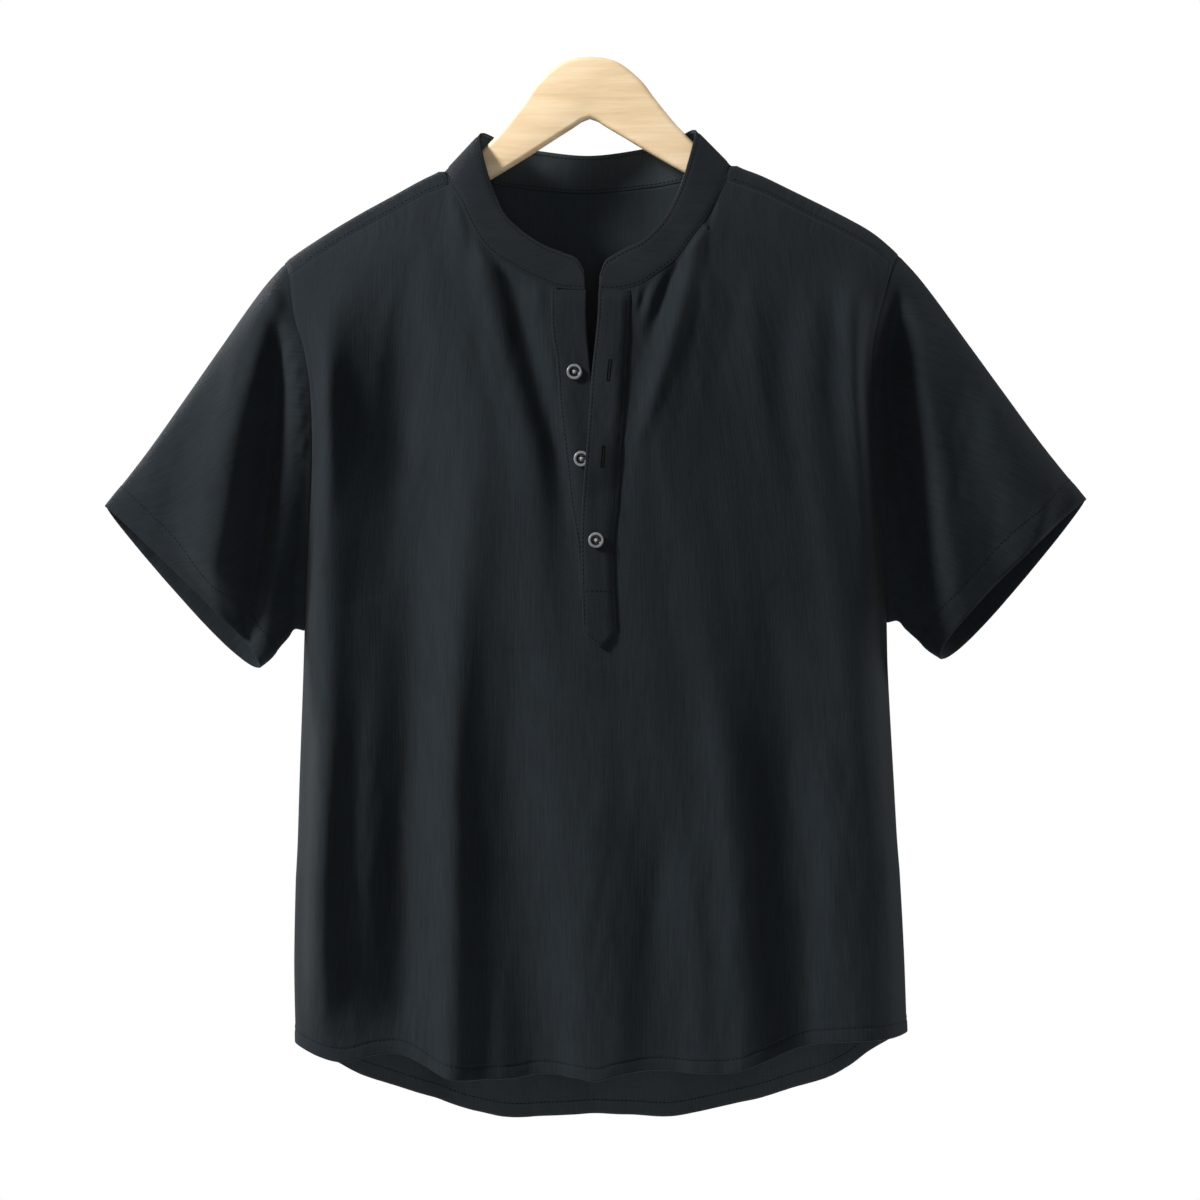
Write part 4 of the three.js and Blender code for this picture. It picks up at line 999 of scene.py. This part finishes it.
# The neck's corners lie half a cell inside the ends of the back's neck line.
back_corners = (SHOULDER_CELLS * FINE + FINE // 2, (SHOULDER_CELLS + BACK_NECK_CELLS) * FINE - FINE // 2)
back_grid = body_panel(
    np.vstack([left_shoulder[::-1], back_neck[1:-1], right_shoulder]),
    np.vstack([back_of_left, left_side]),
    np.vstack([back_of_right, right_side]),
    back_stations, back_hem, 1, BACK_DEPTH, back_folds, seed=8,
    corners=back_corners,
)[:, ::-1]
back, back_skin, back_normals = cloth_piece(
    "linen_back", back_grid, linen, hem_relief(back_grid), painted_light_inside=linen_painted_inside_light,
)
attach(back, "root")
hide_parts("back")
back_hem_stitches = stitches("back_hem_stitches", [hem_line(back_skin, back_normals)])
# The shoulder seams are pressed back and topstitched on the back panel's edge.
shoulder_columns = SHOULDER_CELLS * FINE + 1
SHOULDER_STITCH = 3.2
ROWS_BELOW_SEAM = 14
back_columns = back_skin.shape[1]


def below_seam(columns):
    """A line on the back panel at the stitching's distance below its upper seam."""
    upper = back_skin[:ROWS_BELOW_SEAM]
    facing = back_normals[:ROWS_BELOW_SEAM]
    return line_through(
        (SHOULDER_STITCH, run_along(upper[:, j]), upper[:, j], facing[:, j]) for j in columns
    )


shoulder_stitches = stitches("shoulder_stitches", [
    below_seam(range(3, shoulder_columns - 1)),
    below_seam(range(back_columns - shoulder_columns + 1, back_columns - 3)),
])
# The hem's turning shows inside the longer back, below the front: its stitches come through.
back_inside = back_grid - back_normals * (CLOTH_WALL / 2)
back_inner_stitches = stitches("back_inner_stitches", [hem_line(back_inside, -back_normals)])


# Sleeves.
# Two short sleeves of the same linen, set into the armholes and sewn closed under the arm.
# Each is open at its cuff, where a broad hem is turned in and stitched.
SEAM_ANGLE = 0.28
CUFF_SQUARENESS = 0.85
SLEEVE_PUFF = 45
SLEEVE_FLATNESS = 0.6
SLEEVE_CREASE_START = 0.1
SLEEVE_CELLS = 9
CUFF_HEM = 19.0
# How much of the cuff's rise and fall its lower and its upper part take.
CUFF_SWAY = (1.35, 0.65)
# Outer and inner corner of the cuff, the way that it hangs, how deep its front and back
# are, and how far its front edge is drawn up and its back edge hangs down.
left_cuff = ((-362.5, -337.5), (-247.5, -456.5), (-0.72, -0.69), 20, 23, 6, 9.5)
right_cuff = ((371, -332.5), (263, -450), (0.735, -0.68), 20, 23, 8, 9)
# Bow of the upper and the underarm edge at each share of the length.
sleeve_bow = [(0, 0, 0), (0.11, 2.5, 6), (0.3, 2.5, 4), (0.55, 0.5, 2), (0.78, -1, 0), (1, 0, 0)]
left_sleeve_folds = [
    (-225, -155, -264, -255, -282, -410, 20, 18, 0.12, 0.1),
    (-227, -184, -237, -300, -257, -432, 10.5, -17, 0.12, 0),
    (-221, -185, -224, -215, -224, -250, 4, 2.2, 0.3, 0.4),
    (-262, -190, -310, -260, -338, -330, 10, 2.4, 0.3, 0.2),
    (-236, -350, -246, -385, -262, -424, 5, -3, 0.3, 0.1),
    (-202, -350, -215, -378, -238, -402, 4.5, -4.5, 0.1, 0.3),
    (-203, -366, -220, -394, -248, -424, 6, 4.5, 0.1, 0.2),
    (-207, -404, -216, -424, -228, -446, 4, -3.5, 0.1, 0.2),
    (-219, -200, -227, -209, -237, -221, 2.8, 1.6, 0.05, 0.6),
    (-214, -215, -221, -224, -230, -235, 2.4, 1.4, 0.05, 0.6),
    (-210, -230, -217, -239, -225, -250, 2.8, 1.7, 0.05, 0.6),
    (-208, -247, -214, -256, -221, -266, 2.3, 1.3, 0.05, 0.6),
    (-206, -264, -212, -272, -220, -283, 2.6, 1.5, 0.05, 0.6),
    (-206, -283, -211, -291, -217, -300, 2.2, 1.2, 0.05, 0.6),
    (-256, -300, -266, -350, -276, -400, 5, 1.6, 0.3, 0.3),
]
right_sleeve_folds = [
    (212, -165, 231, -275, 251, -442, 15, -24, 0.08, 0),
    (232, -200, 252, -300, 264, -430, 15, 5, 0.3, 0.1),
    (258, -210, 288, -300, 304, -392, 17, -4.5, 0.3, 0),
    (278, -212, 330, -286, 346, -356, 25, 7, 0.3, 0.2),
    (222, -200, 236, -280, 246, -380, 5, 1.6, 0.3, 0.4),
    (214, -192, 222, -200, 231, -211, 2.6, 1.4, 0.05, 0.6),
    (211, -208, 218, -217, 226, -228, 2.3, 1.2, 0.05, 0.6),
    (210, -226, 216, -235, 223, -246, 2.6, 1.4, 0.05, 0.6),
]


def signed_power(value, power):
    return np.sign(value) * np.abs(value) ** power


def sleeve_grid(front_edge, back_edge, cuff, folds, seed):
    outer, inner, hang, front_deep, back_deep, front_rise, back_fall = cuff
    ring = np.vstack([front_edge, back_edge[1:-1][::-1]])
    front_cells, back_cells = ARMHOLE_CELLS * FINE, BACK_ARMHOLE_CELLS * FINE
    k = np.arange(len(ring))
    angle = np.where(
        k <= front_cells,
        lerp(SEAM_ANGLE, math.pi, k / front_cells),
        lerp(math.pi, 2 * math.pi + SEAM_ANGLE, (k - front_cells) / back_cells),
    )
    up = (1 + signed_power(np.cos(angle), CUFF_SQUARENESS)) / 2
    out = signed_power(np.sin(angle), CUFF_SQUARENESS)
    bulge = signed_power(out, SLEEVE_FLATNESS)
    drop = -lerp(*CUFF_SWAY, up) * out * np.where(out > 0, front_rise, back_fall)
    end = np.c_[
        lerp(inner[0], outer[0], up) + hang[0] * drop,
        -bulge * np.where(out > 0, front_deep, back_deep),
        lerp(inner[1], outer[1], up) + hang[1] * drop,
    ]
    height = np.cos(angle)
    shares = np.linspace(0, 1, SLEEVE_CELLS * FINE + 1)
    grid = np.zeros((len(shares), len(ring), 3))
    for i, s in enumerate(shares):
        bow = np.where(height > 0, read(sleeve_bow, s, 1), read(sleeve_bow, s, 2)) * height**2
        x = lerp(ring[:, 0], end[:, 0], s) - hang[1] * np.sign(ring[:, 0]) * bow
        z = lerp(ring[:, 2], end[:, 2], s) + abs(hang[0]) * bow
        puff = -bulge * SLEEVE_PUFF * s**1.6 * (1 - s) * (0.4 + 0.6 * up)
        started = smooth(0, SLEEVE_CREASE_START, s)
        crease = -np.maximum(out, 0) * started * fold_height(folds, x, z)
        crease += -out * started * ripples(x, z, seed)
        grid[i] = np.c_[x, lerp(ring[:, 1], end[:, 1], s) + puff + crease, z]
    return grid


def cuff_relief(grid):
    """Rise of the outer skin over the turned hem of the cuff, with a dip at the stitching."""
    from_edge = np.zeros(grid.shape[:2])
    steps = np.linalg.norm(np.diff(grid, axis=0), axis=2)
    from_edge[:-1] = np.cumsum(steps[::-1], axis=0)[::-1]
    relief = 0.5 * smooth(CUFF_HEM + 4, CUFF_HEM, from_edge)
    relief -= dip_along(from_edge - CUFF_HEM, 0.5, 2.2)
    relief[0] -= 0.6
    return relief, from_edge


def make_sleeve(side, front_edge, back_edge, cuff, folds, seed):
    grid = sleeve_grid(front_edge, back_edge, cuff, folds, seed)
    if side == "right":
        grid = grid[:, ::-1]
    relief, from_edge = cuff_relief(grid)
    piece, skin, normals = cloth_piece("linen_sleeve_" + side, grid, linen, relief, rolled=True)
    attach(piece, "root")
    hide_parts("sleeve_" + side)
    seam = stitches("cuff_stitches_" + side, [line_through(
        (CUFF_HEM, from_edge[::-1, j], skin[::-1, j], normals[::-1, j]) for j in (*range(grid.shape[1]), 0)
    )])


make_sleeve("left", front_of_left, back_of_left, left_cuff, left_sleeve_folds, seed=21)
make_sleeve("right", front_of_right, back_of_right, right_cuff, right_sleeve_folds, seed=22)


# Collar band.
# A narrow standing band of two layers of the linen over a stiff lining, its front ends
# rounded. It is sewn to the neck and topstitched close to both edges.
BAND_WALL = 2.0
BAND_ROWS = 16
FRONT_END_CELLS = 4
BAND_STITCH = 2.2
collar_top = [
    (-4.5, -45.5, -166), (-9.5, -43, -157.5), (-20, -41, -152.8), (-34.5, -39.5, -146.6),
    (-49.2, -36, -136.5), (-61.9, -31, -124.2), (-68.7, -25, -111), (-76, -18.5, -92),
    (-81.5, -11, -70), (-81.4, 1, -57.6), (-70, 13, -60), (-56, 19.5, -64.2), (-37, 26, -67.2),
    (0, 28.5, -70.2), (38.5, 26, -65.8), (57, 19.5, -61.6), (68, 13, -58), (78.6, 1, -55.2),
    (77.3, -11, -67.5), (70.5, -19, -92), (60.5, -27, -116.8), (50.2, -34.5, -132.5),
    (38.7, -39, -143.4), (28, -40.5, -148.6), (18.5, -41.5, -153.8), (12, -43, -158.8), (8, -46, -169),
]
band_places = np.concatenate([
    np.linspace(low, high, cells * FINE, endpoint=False)
    for low, high, cells in (
        (0, LEFT_SLOT, FRONT_END_CELLS),
        (LEFT_SLOT, LEFT_SEAM, NECK_CELLS),
        (LEFT_SEAM, RIGHT_SEAM, BACK_NECK_CELLS),
        (RIGHT_SEAM, RIGHT_SLOT, NECK_CELLS),
        (RIGHT_SLOT, len(collar_base) - 1, FRONT_END_CELLS),
    )
] + [[len(collar_base) - 1]])[::-1]
band_base = catmull(collar_base, band_places)
band_edge = catmull(collar_top, band_places)
band_shares = np.linspace(0, 1, BAND_ROWS + 1)
band_grid = np.array([lerp(band_edge, band_base, t) for t in band_shares])
band_height = np.linalg.norm(band_edge - band_base, axis=1)
from_top = band_shares[:, None] * band_height[None, :]
from_base = band_height[None, :] - from_top
near_edge = np.minimum(from_top, from_base)
band_relief = 0.25 * smooth(0, 6, near_edge) - dip_along(near_edge - BAND_STITCH, 0.5, 1.1)
band_linen = make_linen("collar_linen", (0.0068, 0.0093, 0.0119), (0.0112, 0.0150, 0.0186), slub=0.3)
# The band's inner skin takes the lighter linen: painted light in the shaded neck.
collar, band_skin, band_normals = cloth_piece(
    "linen_collar_band", band_grid, band_linen, band_relief, wall=BAND_WALL, painted_light_inside=linen_painted_inside_light,
)
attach(collar, "root")
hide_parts("collar_band")


def band_line(distance, inside):
    """A line round the band at one distance from its free edge, or from its base if below 0."""
    facing = -band_normals if inside else band_normals
    skin = band_grid + facing * BAND_WALL / 2 if inside else band_skin
    return line_through(
        (distance if distance >= 0 else band_height[j] + distance, from_top[:, j], skin[:, j], facing[:, j])
        for j in range(1, band_grid.shape[1] - 1)
    )


band_stitches = stitches("collar_stitches", [
    band_line(distance, inside) for distance in (BAND_STITCH, -BAND_STITCH) for inside in (False, True)
])


# Placket.
# Two strips of the linen, folded double and sewn over the slit's edges. The strip with the
# buttons lies behind, and the one with the buttonholes lies in front and ends in a point.
STRIP_LIFT = 1.45
UNDER_LIFT = 1.55
SEWN_LIFT = 1.35
OVER_EDGE_LIFT = 1.4
SEWN_SHARE = 0.35
STRIP_STITCH = 1.4
# The strips' tops are drawn in under the band, from the second height up to the first.
TUCK_TOP, TUCK_END, TUCK_SHARE = -180.5, -189, 0.15
STRIP_TOP = -180.6
UNDER_END = -407
OVER_LEFT_END, OVER_POINT, OVER_RIGHT_END = -432, -441.5, -429.5
UNDER_STRIP_SHARE = 0.78
STRIP_ROWS, STRIP_COLUMNS = 132, 20
# z, then the outer and inner edge of the under strip, and the inner and outer edge of the
# over strip.
placket_edges = [
    (-442, -5.6, 12, -4.2, 20.6), (-398, -6.6, 11, -5.4, 17.9), (-367, -8.5, 10.5, -6, 17.4),
    (-352, -11, 10.5, -5.7, 18.4), (-336, -13.7, 10.5, -5.1, 20.4), (-305, -17.1, 8, -2.6, 22),
    (-275, -20.5, 5, -0.5, 24.4), (-259, -22.2, 2.5, 0.6, 25.2), (-244, -22.9, 0.5, 1.7, 26),
    (-229, -24.2, -1, 3.2, 26.8), (-213, -27, -2.4, 5, 28.1), (-197, -27.8, -2.9, 6.4, 28.5),
    (-181.5, -27.8, -2.8, 6.9, 29.6),
]
BUTTON_DIAMETER = 11.4
BUTTON_THICKNESS = 2.4
BUTTON_CLEARANCE = 0.7
# The strip over a button falls from one distance to the other, counted in buttons.
BUTTON_TENT = (0.45, 2.1)
button_places = [
    ("button_1", -11.3, -241.2, UNDER_LIFT),
    ("button_2", -6, -304.5, UNDER_LIFT),
    ("button_3", 4.4, -363.8, 2 * STRIP_LIFT),
]

RAY_START = -400
BACKWARDS = Vector((0, 1, 0))
PANEL_TOP = -181.2


def grid_tree(grid):
    """The cells of a grid, for finding where a ray meets them."""
    rows, columns = grid.shape[:2]
    n = np.arange(rows * columns).reshape(rows, columns)
    cells = np.stack([n[:-1, :-1], n[1:, :-1], n[1:, 1:], n[:-1, 1:]], axis=-1).reshape(-1, 4)
    return BVHTree.FromPolygons(grid.reshape(-1, 3).tolist(), cells.tolist())


front_tree = grid_tree(front_grid)


def panel_depth(x, z):
    """Depth of the front panel at a place seen from the front."""
    return front_tree.ray_cast(Vector((x, RAY_START, min(z, PANEL_TOP))), BACKWARDS)[0].y


def under_lift(x, z, across):
    return lerp(SEWN_LIFT, UNDER_LIFT, smooth(0, SEWN_SHARE, across))


def over_lift(x, z, across):
    """The over strip lies on the under strip, falls to the panel and stands over button 2."""
    _, bx, bz, _ = button_places[1]
    near = np.hypot((x - bx) / 1.5, (z - bz) / 1.4) / BUTTON_DIAMETER
    rise = (BUTTON_THICKNESS + BUTTON_CLEARANCE) * (1 - smooth(*BUTTON_TENT, near))
    return lerp(2 * STRIP_LIFT, OVER_EDGE_LIFT, smooth(UNDER_STRIP_SHARE - 0.06, 1, across)) + rise


def strip_grid(inner, outer, ends, lift):
    grid = np.zeros((STRIP_ROWS + 1, STRIP_COLUMNS + 1, 3))
    for j, across in enumerate(np.linspace(0, 1, STRIP_COLUMNS + 1)):
        z = lerp(STRIP_TOP, ends(across), np.linspace(0, 1, STRIP_ROWS + 1))
        x = lerp(read(placket_edges, z, inner), read(placket_edges, z, outer), across)
        tucked = lerp(TUCK_SHARE, 1, smooth(TUCK_TOP, TUCK_END, z))
        y = np.array([panel_depth(a, b) - t * lift(a, b, across) for a, b, t in zip(x, z, tucked)])
        grid[:, j] = np.c_[x, y, z]
    return grid


def over_end(across):
    if across < 0.5:
        return lerp(OVER_LEFT_END, OVER_POINT, across * 2)
    return lerp(OVER_POINT, OVER_RIGHT_END, across * 2 - 1)


def edge_relief(grid, sides):
    """Relief along a strip's edges: a dip along the stitching near the given sides."""
    width = np.linalg.norm(grid[:, 0] - grid[:, -1], axis=1)[:, None]
    from_left = np.linspace(0, 1, grid.shape[1])[None, :] * width
    relief = np.zeros(grid.shape[:2])
    for side in sides:
        gap = from_left if side == "left" else width - from_left
        relief -= dip_along(gap - STRIP_STITCH, 0.5, 0.6)
    return relief


def under_end(across):
    return UNDER_END


under_grid = strip_grid(1, 2, under_end, under_lift)
over_grid = strip_grid(3, 4, over_end, over_lift)
under, under_skin, under_normals = cloth_piece(
    "linen_placket_under", under_grid, band_linen, edge_relief(under_grid, ["left"]),
)
over, over_skin, over_normals = cloth_piece(
    "linen_placket_over", over_grid, band_linen, edge_relief(over_grid, ["left", "right"]),
)
for strip, node in ((under, "placket_under"), (over, "placket_over")):
    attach(strip, "root")
    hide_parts(node)


def down_strip(skin, normals, distance, end=1.0):
    """A line down a strip at one distance from its left edge, or its right if below 0."""
    rows = []
    for i in range(int(end * (len(skin) - 1)) + 1):
        far = run_along(skin[i])
        rows.append((distance if distance >= 0 else far[-1] + distance, far, skin[i], normals[i]))
    return line_through(rows)


def across_strip(skin, normals, z):
    """A level line across a strip that stops short of its two edges."""
    points, facing = line_through(
        (z, skin[::-1, j, 2], skin[::-1, j], normals[::-1, j]) for j in range(skin.shape[1])
    )
    far = run_along(points)
    keep = np.linspace(BOX_INSET, far[-1] - BOX_INSET, BOX_POINTS)
    return points_at(keep, far, points), points_at(keep, far, facing)


def along_point(skin, normals):
    """The line just inside the strip's pointed end."""
    row = skin.shape[0] - 2
    inner = slice(2, skin.shape[1] - 2)
    return skin[row, inner], normals[row, inner]


BOX_TOP, BOX_INSET, BOX_POINTS = -400.7, 2.0, 16
OVER_STITCH_END = 0.985
under_stitches = stitches("under_strip_stitches", [down_strip(under_skin, under_normals, STRIP_STITCH)])
over_stitches = stitches("over_strip_stitches", [
    down_strip(over_skin, over_normals, STRIP_STITCH, OVER_STITCH_END),
    down_strip(over_skin, over_normals, -STRIP_STITCH, OVER_STITCH_END),
    across_strip(over_skin, over_normals, BOX_TOP),
    along_point(over_skin, over_normals),
])


# The two buttonholes that show are worked up and down the over strip with close thread.
BUTTONHOLE_LENGTH = 15.6
BUTTONHOLE_WIDTH = 2.6
BUTTONHOLE_STEP = 0.42
SLIT_HALF = 0.4
BAR_LENGTH, BAR_OVERLAP = 0.7, 0.2
LEAN_REACH = 8
SATIN_BOW = np.array([0.0, 1.0, 1.0, 0.0])
buttonholes = [(13.9, -239.9), (9.3, -303.0)]


over_tree = grid_tree(over_skin)


def on_over_strip(x, z):
    """Where the over strip's skin lies, seen from the front, and the way that it faces."""
    point, normal = over_tree.ray_cast(Vector((x, RAY_START, z)), BACKWARDS)[:2]
    return np.array(point), np.array(normal if normal.y < 0 else -normal)


def buttonhole(x, z):
    """Paths of close stitches down both sides of the slit, with a bar at each end."""
    reach = read(placket_edges, z + LEAN_REACH, 3) - read(placket_edges, z - LEAN_REACH, 3)
    lean = reach / (2 * LEAN_REACH)
    half = BUTTONHOLE_LENGTH / 2
    paths = []
    for along in np.arange(-half, half + 0.01, BUTTONHOLE_STEP):
        middle = x + lean * along
        start = -BAR_OVERLAP if abs(along) > half - BAR_LENGTH else SLIT_HALF
        for side in (-1, 1):
            ends = middle + side * start, middle + side * BUTTONHOLE_WIDTH / 2
            row = [on_over_strip(px, z + along) for px in np.linspace(*ends, len(SATIN_BOW))]
            paths.append(tuple(np.array(part) for part in zip(*row)))
    return paths


def satin(name, paths, material, radius):
    """One bowed strand of thread along each short path."""
    strands = []
    for points, facing in paths:
        ahead = points[-1] - points[0]
        ahead /= np.linalg.norm(ahead)
        across = np.cross(facing, ahead)
        across /= np.linalg.norm(across, axis=1, keepdims=True)
        middle = points + facing * (radius * (0.9 * SATIN_BOW - 0.2))[:, None]
        strands.append([*zip(middle, across, facing, [radius] * len(points))])
    return thread_piece(name, strands, material)


buttonhole_work = [
    satin(f"buttonhole_{n}", buttonhole(x, z), black_thread_with_seam_shade, radius=0.27)
    for n, (x, z) in enumerate(buttonholes, 1)
]


# Buttons.
# Three small moulded buttons, round with a raised rim and a dished middle with four holes,
# sewn on with crossed thread. The rim is painted a lighter grey than the dark dish: a painted
# highlight. The lowest one is passed through its buttonhole.
BUTTON_GAP = 0.3
BUTTON_SIDES = 64
DISH_RINGS = 16
HOLE_RADIUS = 0.75
HOLE_DEPTH = 0.9
THREAD_APART = 0.22
# Each hole lies this far from the middle, both across and down.
HOLE_PLACE = 1.044


def make_button_plastic(name, dark, light, coat, specular):
    material, shader, add, join = node_material(name)
    place = add("TexCoord")
    clouds = add("TexNoise", Scale=160.0, Detail=4.0, Roughness=0.6)
    join(place.outputs["Object"], clouds.inputs["Vector"])
    tint = ramp(add, join, clouds.outputs["Fac"], [(0.30, dark), (0.75, light)])
    join(tint, shader.inputs["Base Color"])
    fine = add("TexNoise", Scale=1600.0, Detail=2.0)
    join(place.outputs["Object"], fine.inputs["Vector"])
    fac = fine.outputs["Fac"]
    surface(
        shader, add, join, fac, 0.1, 0.0001, rough=(fac, 0.26, 0.42),
        Coat_Weight=coat, Specular_IOR_Level=specular, Coat_Roughness=0.25,
    )
    return material


# Lighter grey for the rim and back of each button: a painted highlight on the dark plastic.
button_rim_painted_highlight = make_button_plastic(
    "grey_painted_rim_highlight", (0.115, 0.123, 0.130), (0.205, 0.216, 0.226), coat=0.2, specular=0.5,
)
button_dish = make_button_plastic(
    "black_button_dish", (0.0030, 0.0036, 0.0042), (0.0075, 0.0085, 0.0095), coat=0.03, specular=0.2,
)
button_thread = make_thread("grey_button_thread", (0.42, 0.44, 0.46))
# Radius and height of the turned profile, from the middle of the back round to the dish,
# which is dark from the fourth last point inward. Outward of it, round the rim and the back,
# the lighter grey is a painted highlight.
button_profile = [
    (4.0, 0), (5.0, 0.08), (5.45, 0.4), (5.7, 0.95), (5.7, 1.55), (5.5, 2.05), (5.1, 2.36),
    (4.65, 2.4), (4.25, 2.3), (3.8, 2.16), (3.4, 1.9), (3.1, 1.5), (2.6, 1.3),
]
DARK_FROM = (len(button_profile) - 4) * BUTTON_SIDES
DISH_RADIUS, DISH_FLOOR = button_profile[-1]


def in_hole(x, y):
    """How far inside one of the four holes a place in the dish is, from 0 to 1."""
    far = min(math.hypot(x - sx * HOLE_PLACE, y - sy * HOLE_PLACE) for sx in (-1, 1) for sy in (-1, 1))
    return 1.0 - float(smooth(HOLE_RADIUS * 0.55, HOLE_RADIUS, far))


def button_mesh():
    """The profile turned round the button's axis, its dish filled with rings of points that
    dip at the four holes."""
    turn = [2 * math.pi * n / BUTTON_SIDES for n in range(BUTTON_SIDES)]
    verts = [(r * math.cos(a), r * math.sin(a), h) for r, h in button_profile for a in turn]
    for k in range(1, DISH_RINGS):
        r = DISH_RADIUS * (1 - k / DISH_RINGS)
        for x, y in ((r * math.cos(a), r * math.sin(a)) for a in turn):
            verts.append((x, y, DISH_FLOOR - HOLE_DEPTH * in_hole(x, y)))
    last = len(verts) - BUTTON_SIDES
    sides = [(n, (n + 1) % BUTTON_SIDES) for n in range(BUTTON_SIDES)]
    faces = [
        [a + n, a + m, a + BUTTON_SIDES + m, a + BUTTON_SIDES + n]
        for a in range(0, last, BUTTON_SIDES) for n, m in sides
    ]
    verts += [(0, 0, DISH_FLOOR), (0, 0, 0)]
    faces += [[last + n, last + m, len(verts) - 2] for n, m in sides]
    faces += [[m, n, len(verts) - 1] for n, m in sides]
    return verts, faces


def make_button(name, x, z, lift):
    """A button square to the cloth below it, and its thread, two strands each way."""
    half = BUTTON_DIAMETER / 4
    slope_x = (panel_depth(x + half, z) - panel_depth(x - half, z)) / (2 * half)
    slope_z = (panel_depth(x, z + half) - panel_depth(x, z - half)) / (2 * half)
    facing = Vector((slope_x, -1, slope_z)).normalized()
    spin = np.array(facing.to_track_quat("Z", "Y").to_matrix())
    clear = lift + CLOTH_WALL / 2 + BUTTON_GAP
    place = np.array((x, panel_depth(x, z), z)) + np.array(facing) * clear
    verts, faces = button_mesh()
    points = np.array(verts) @ spin.T + place
    piece = new_object(name + "_turned", points, faces, [button_rim_painted_highlight, button_dish])
    paint_faces(piece, range(DARK_FROM, len(faces) - BUTTON_SIDES))
    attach(piece, "root")
    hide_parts(name)
    strands = []
    t = np.linspace(-1, 1, len(SATIN_BOW))
    for sx in (-1, 1):
        for offset in (-THREAD_APART, THREAD_APART):
            height = DISH_FLOOR - 0.35 * np.abs(t) ** 3 + 0.12
            line = np.c_[t * HOLE_PLACE - offset, sx * (t * HOLE_PLACE + offset), height]
            strands.append((line @ spin.T + place, np.repeat(np.array([facing]), len(t), axis=0)))
    satin(name + "_thread", strands, button_thread, radius=0.3)


for button in button_places:
    make_button(*button)
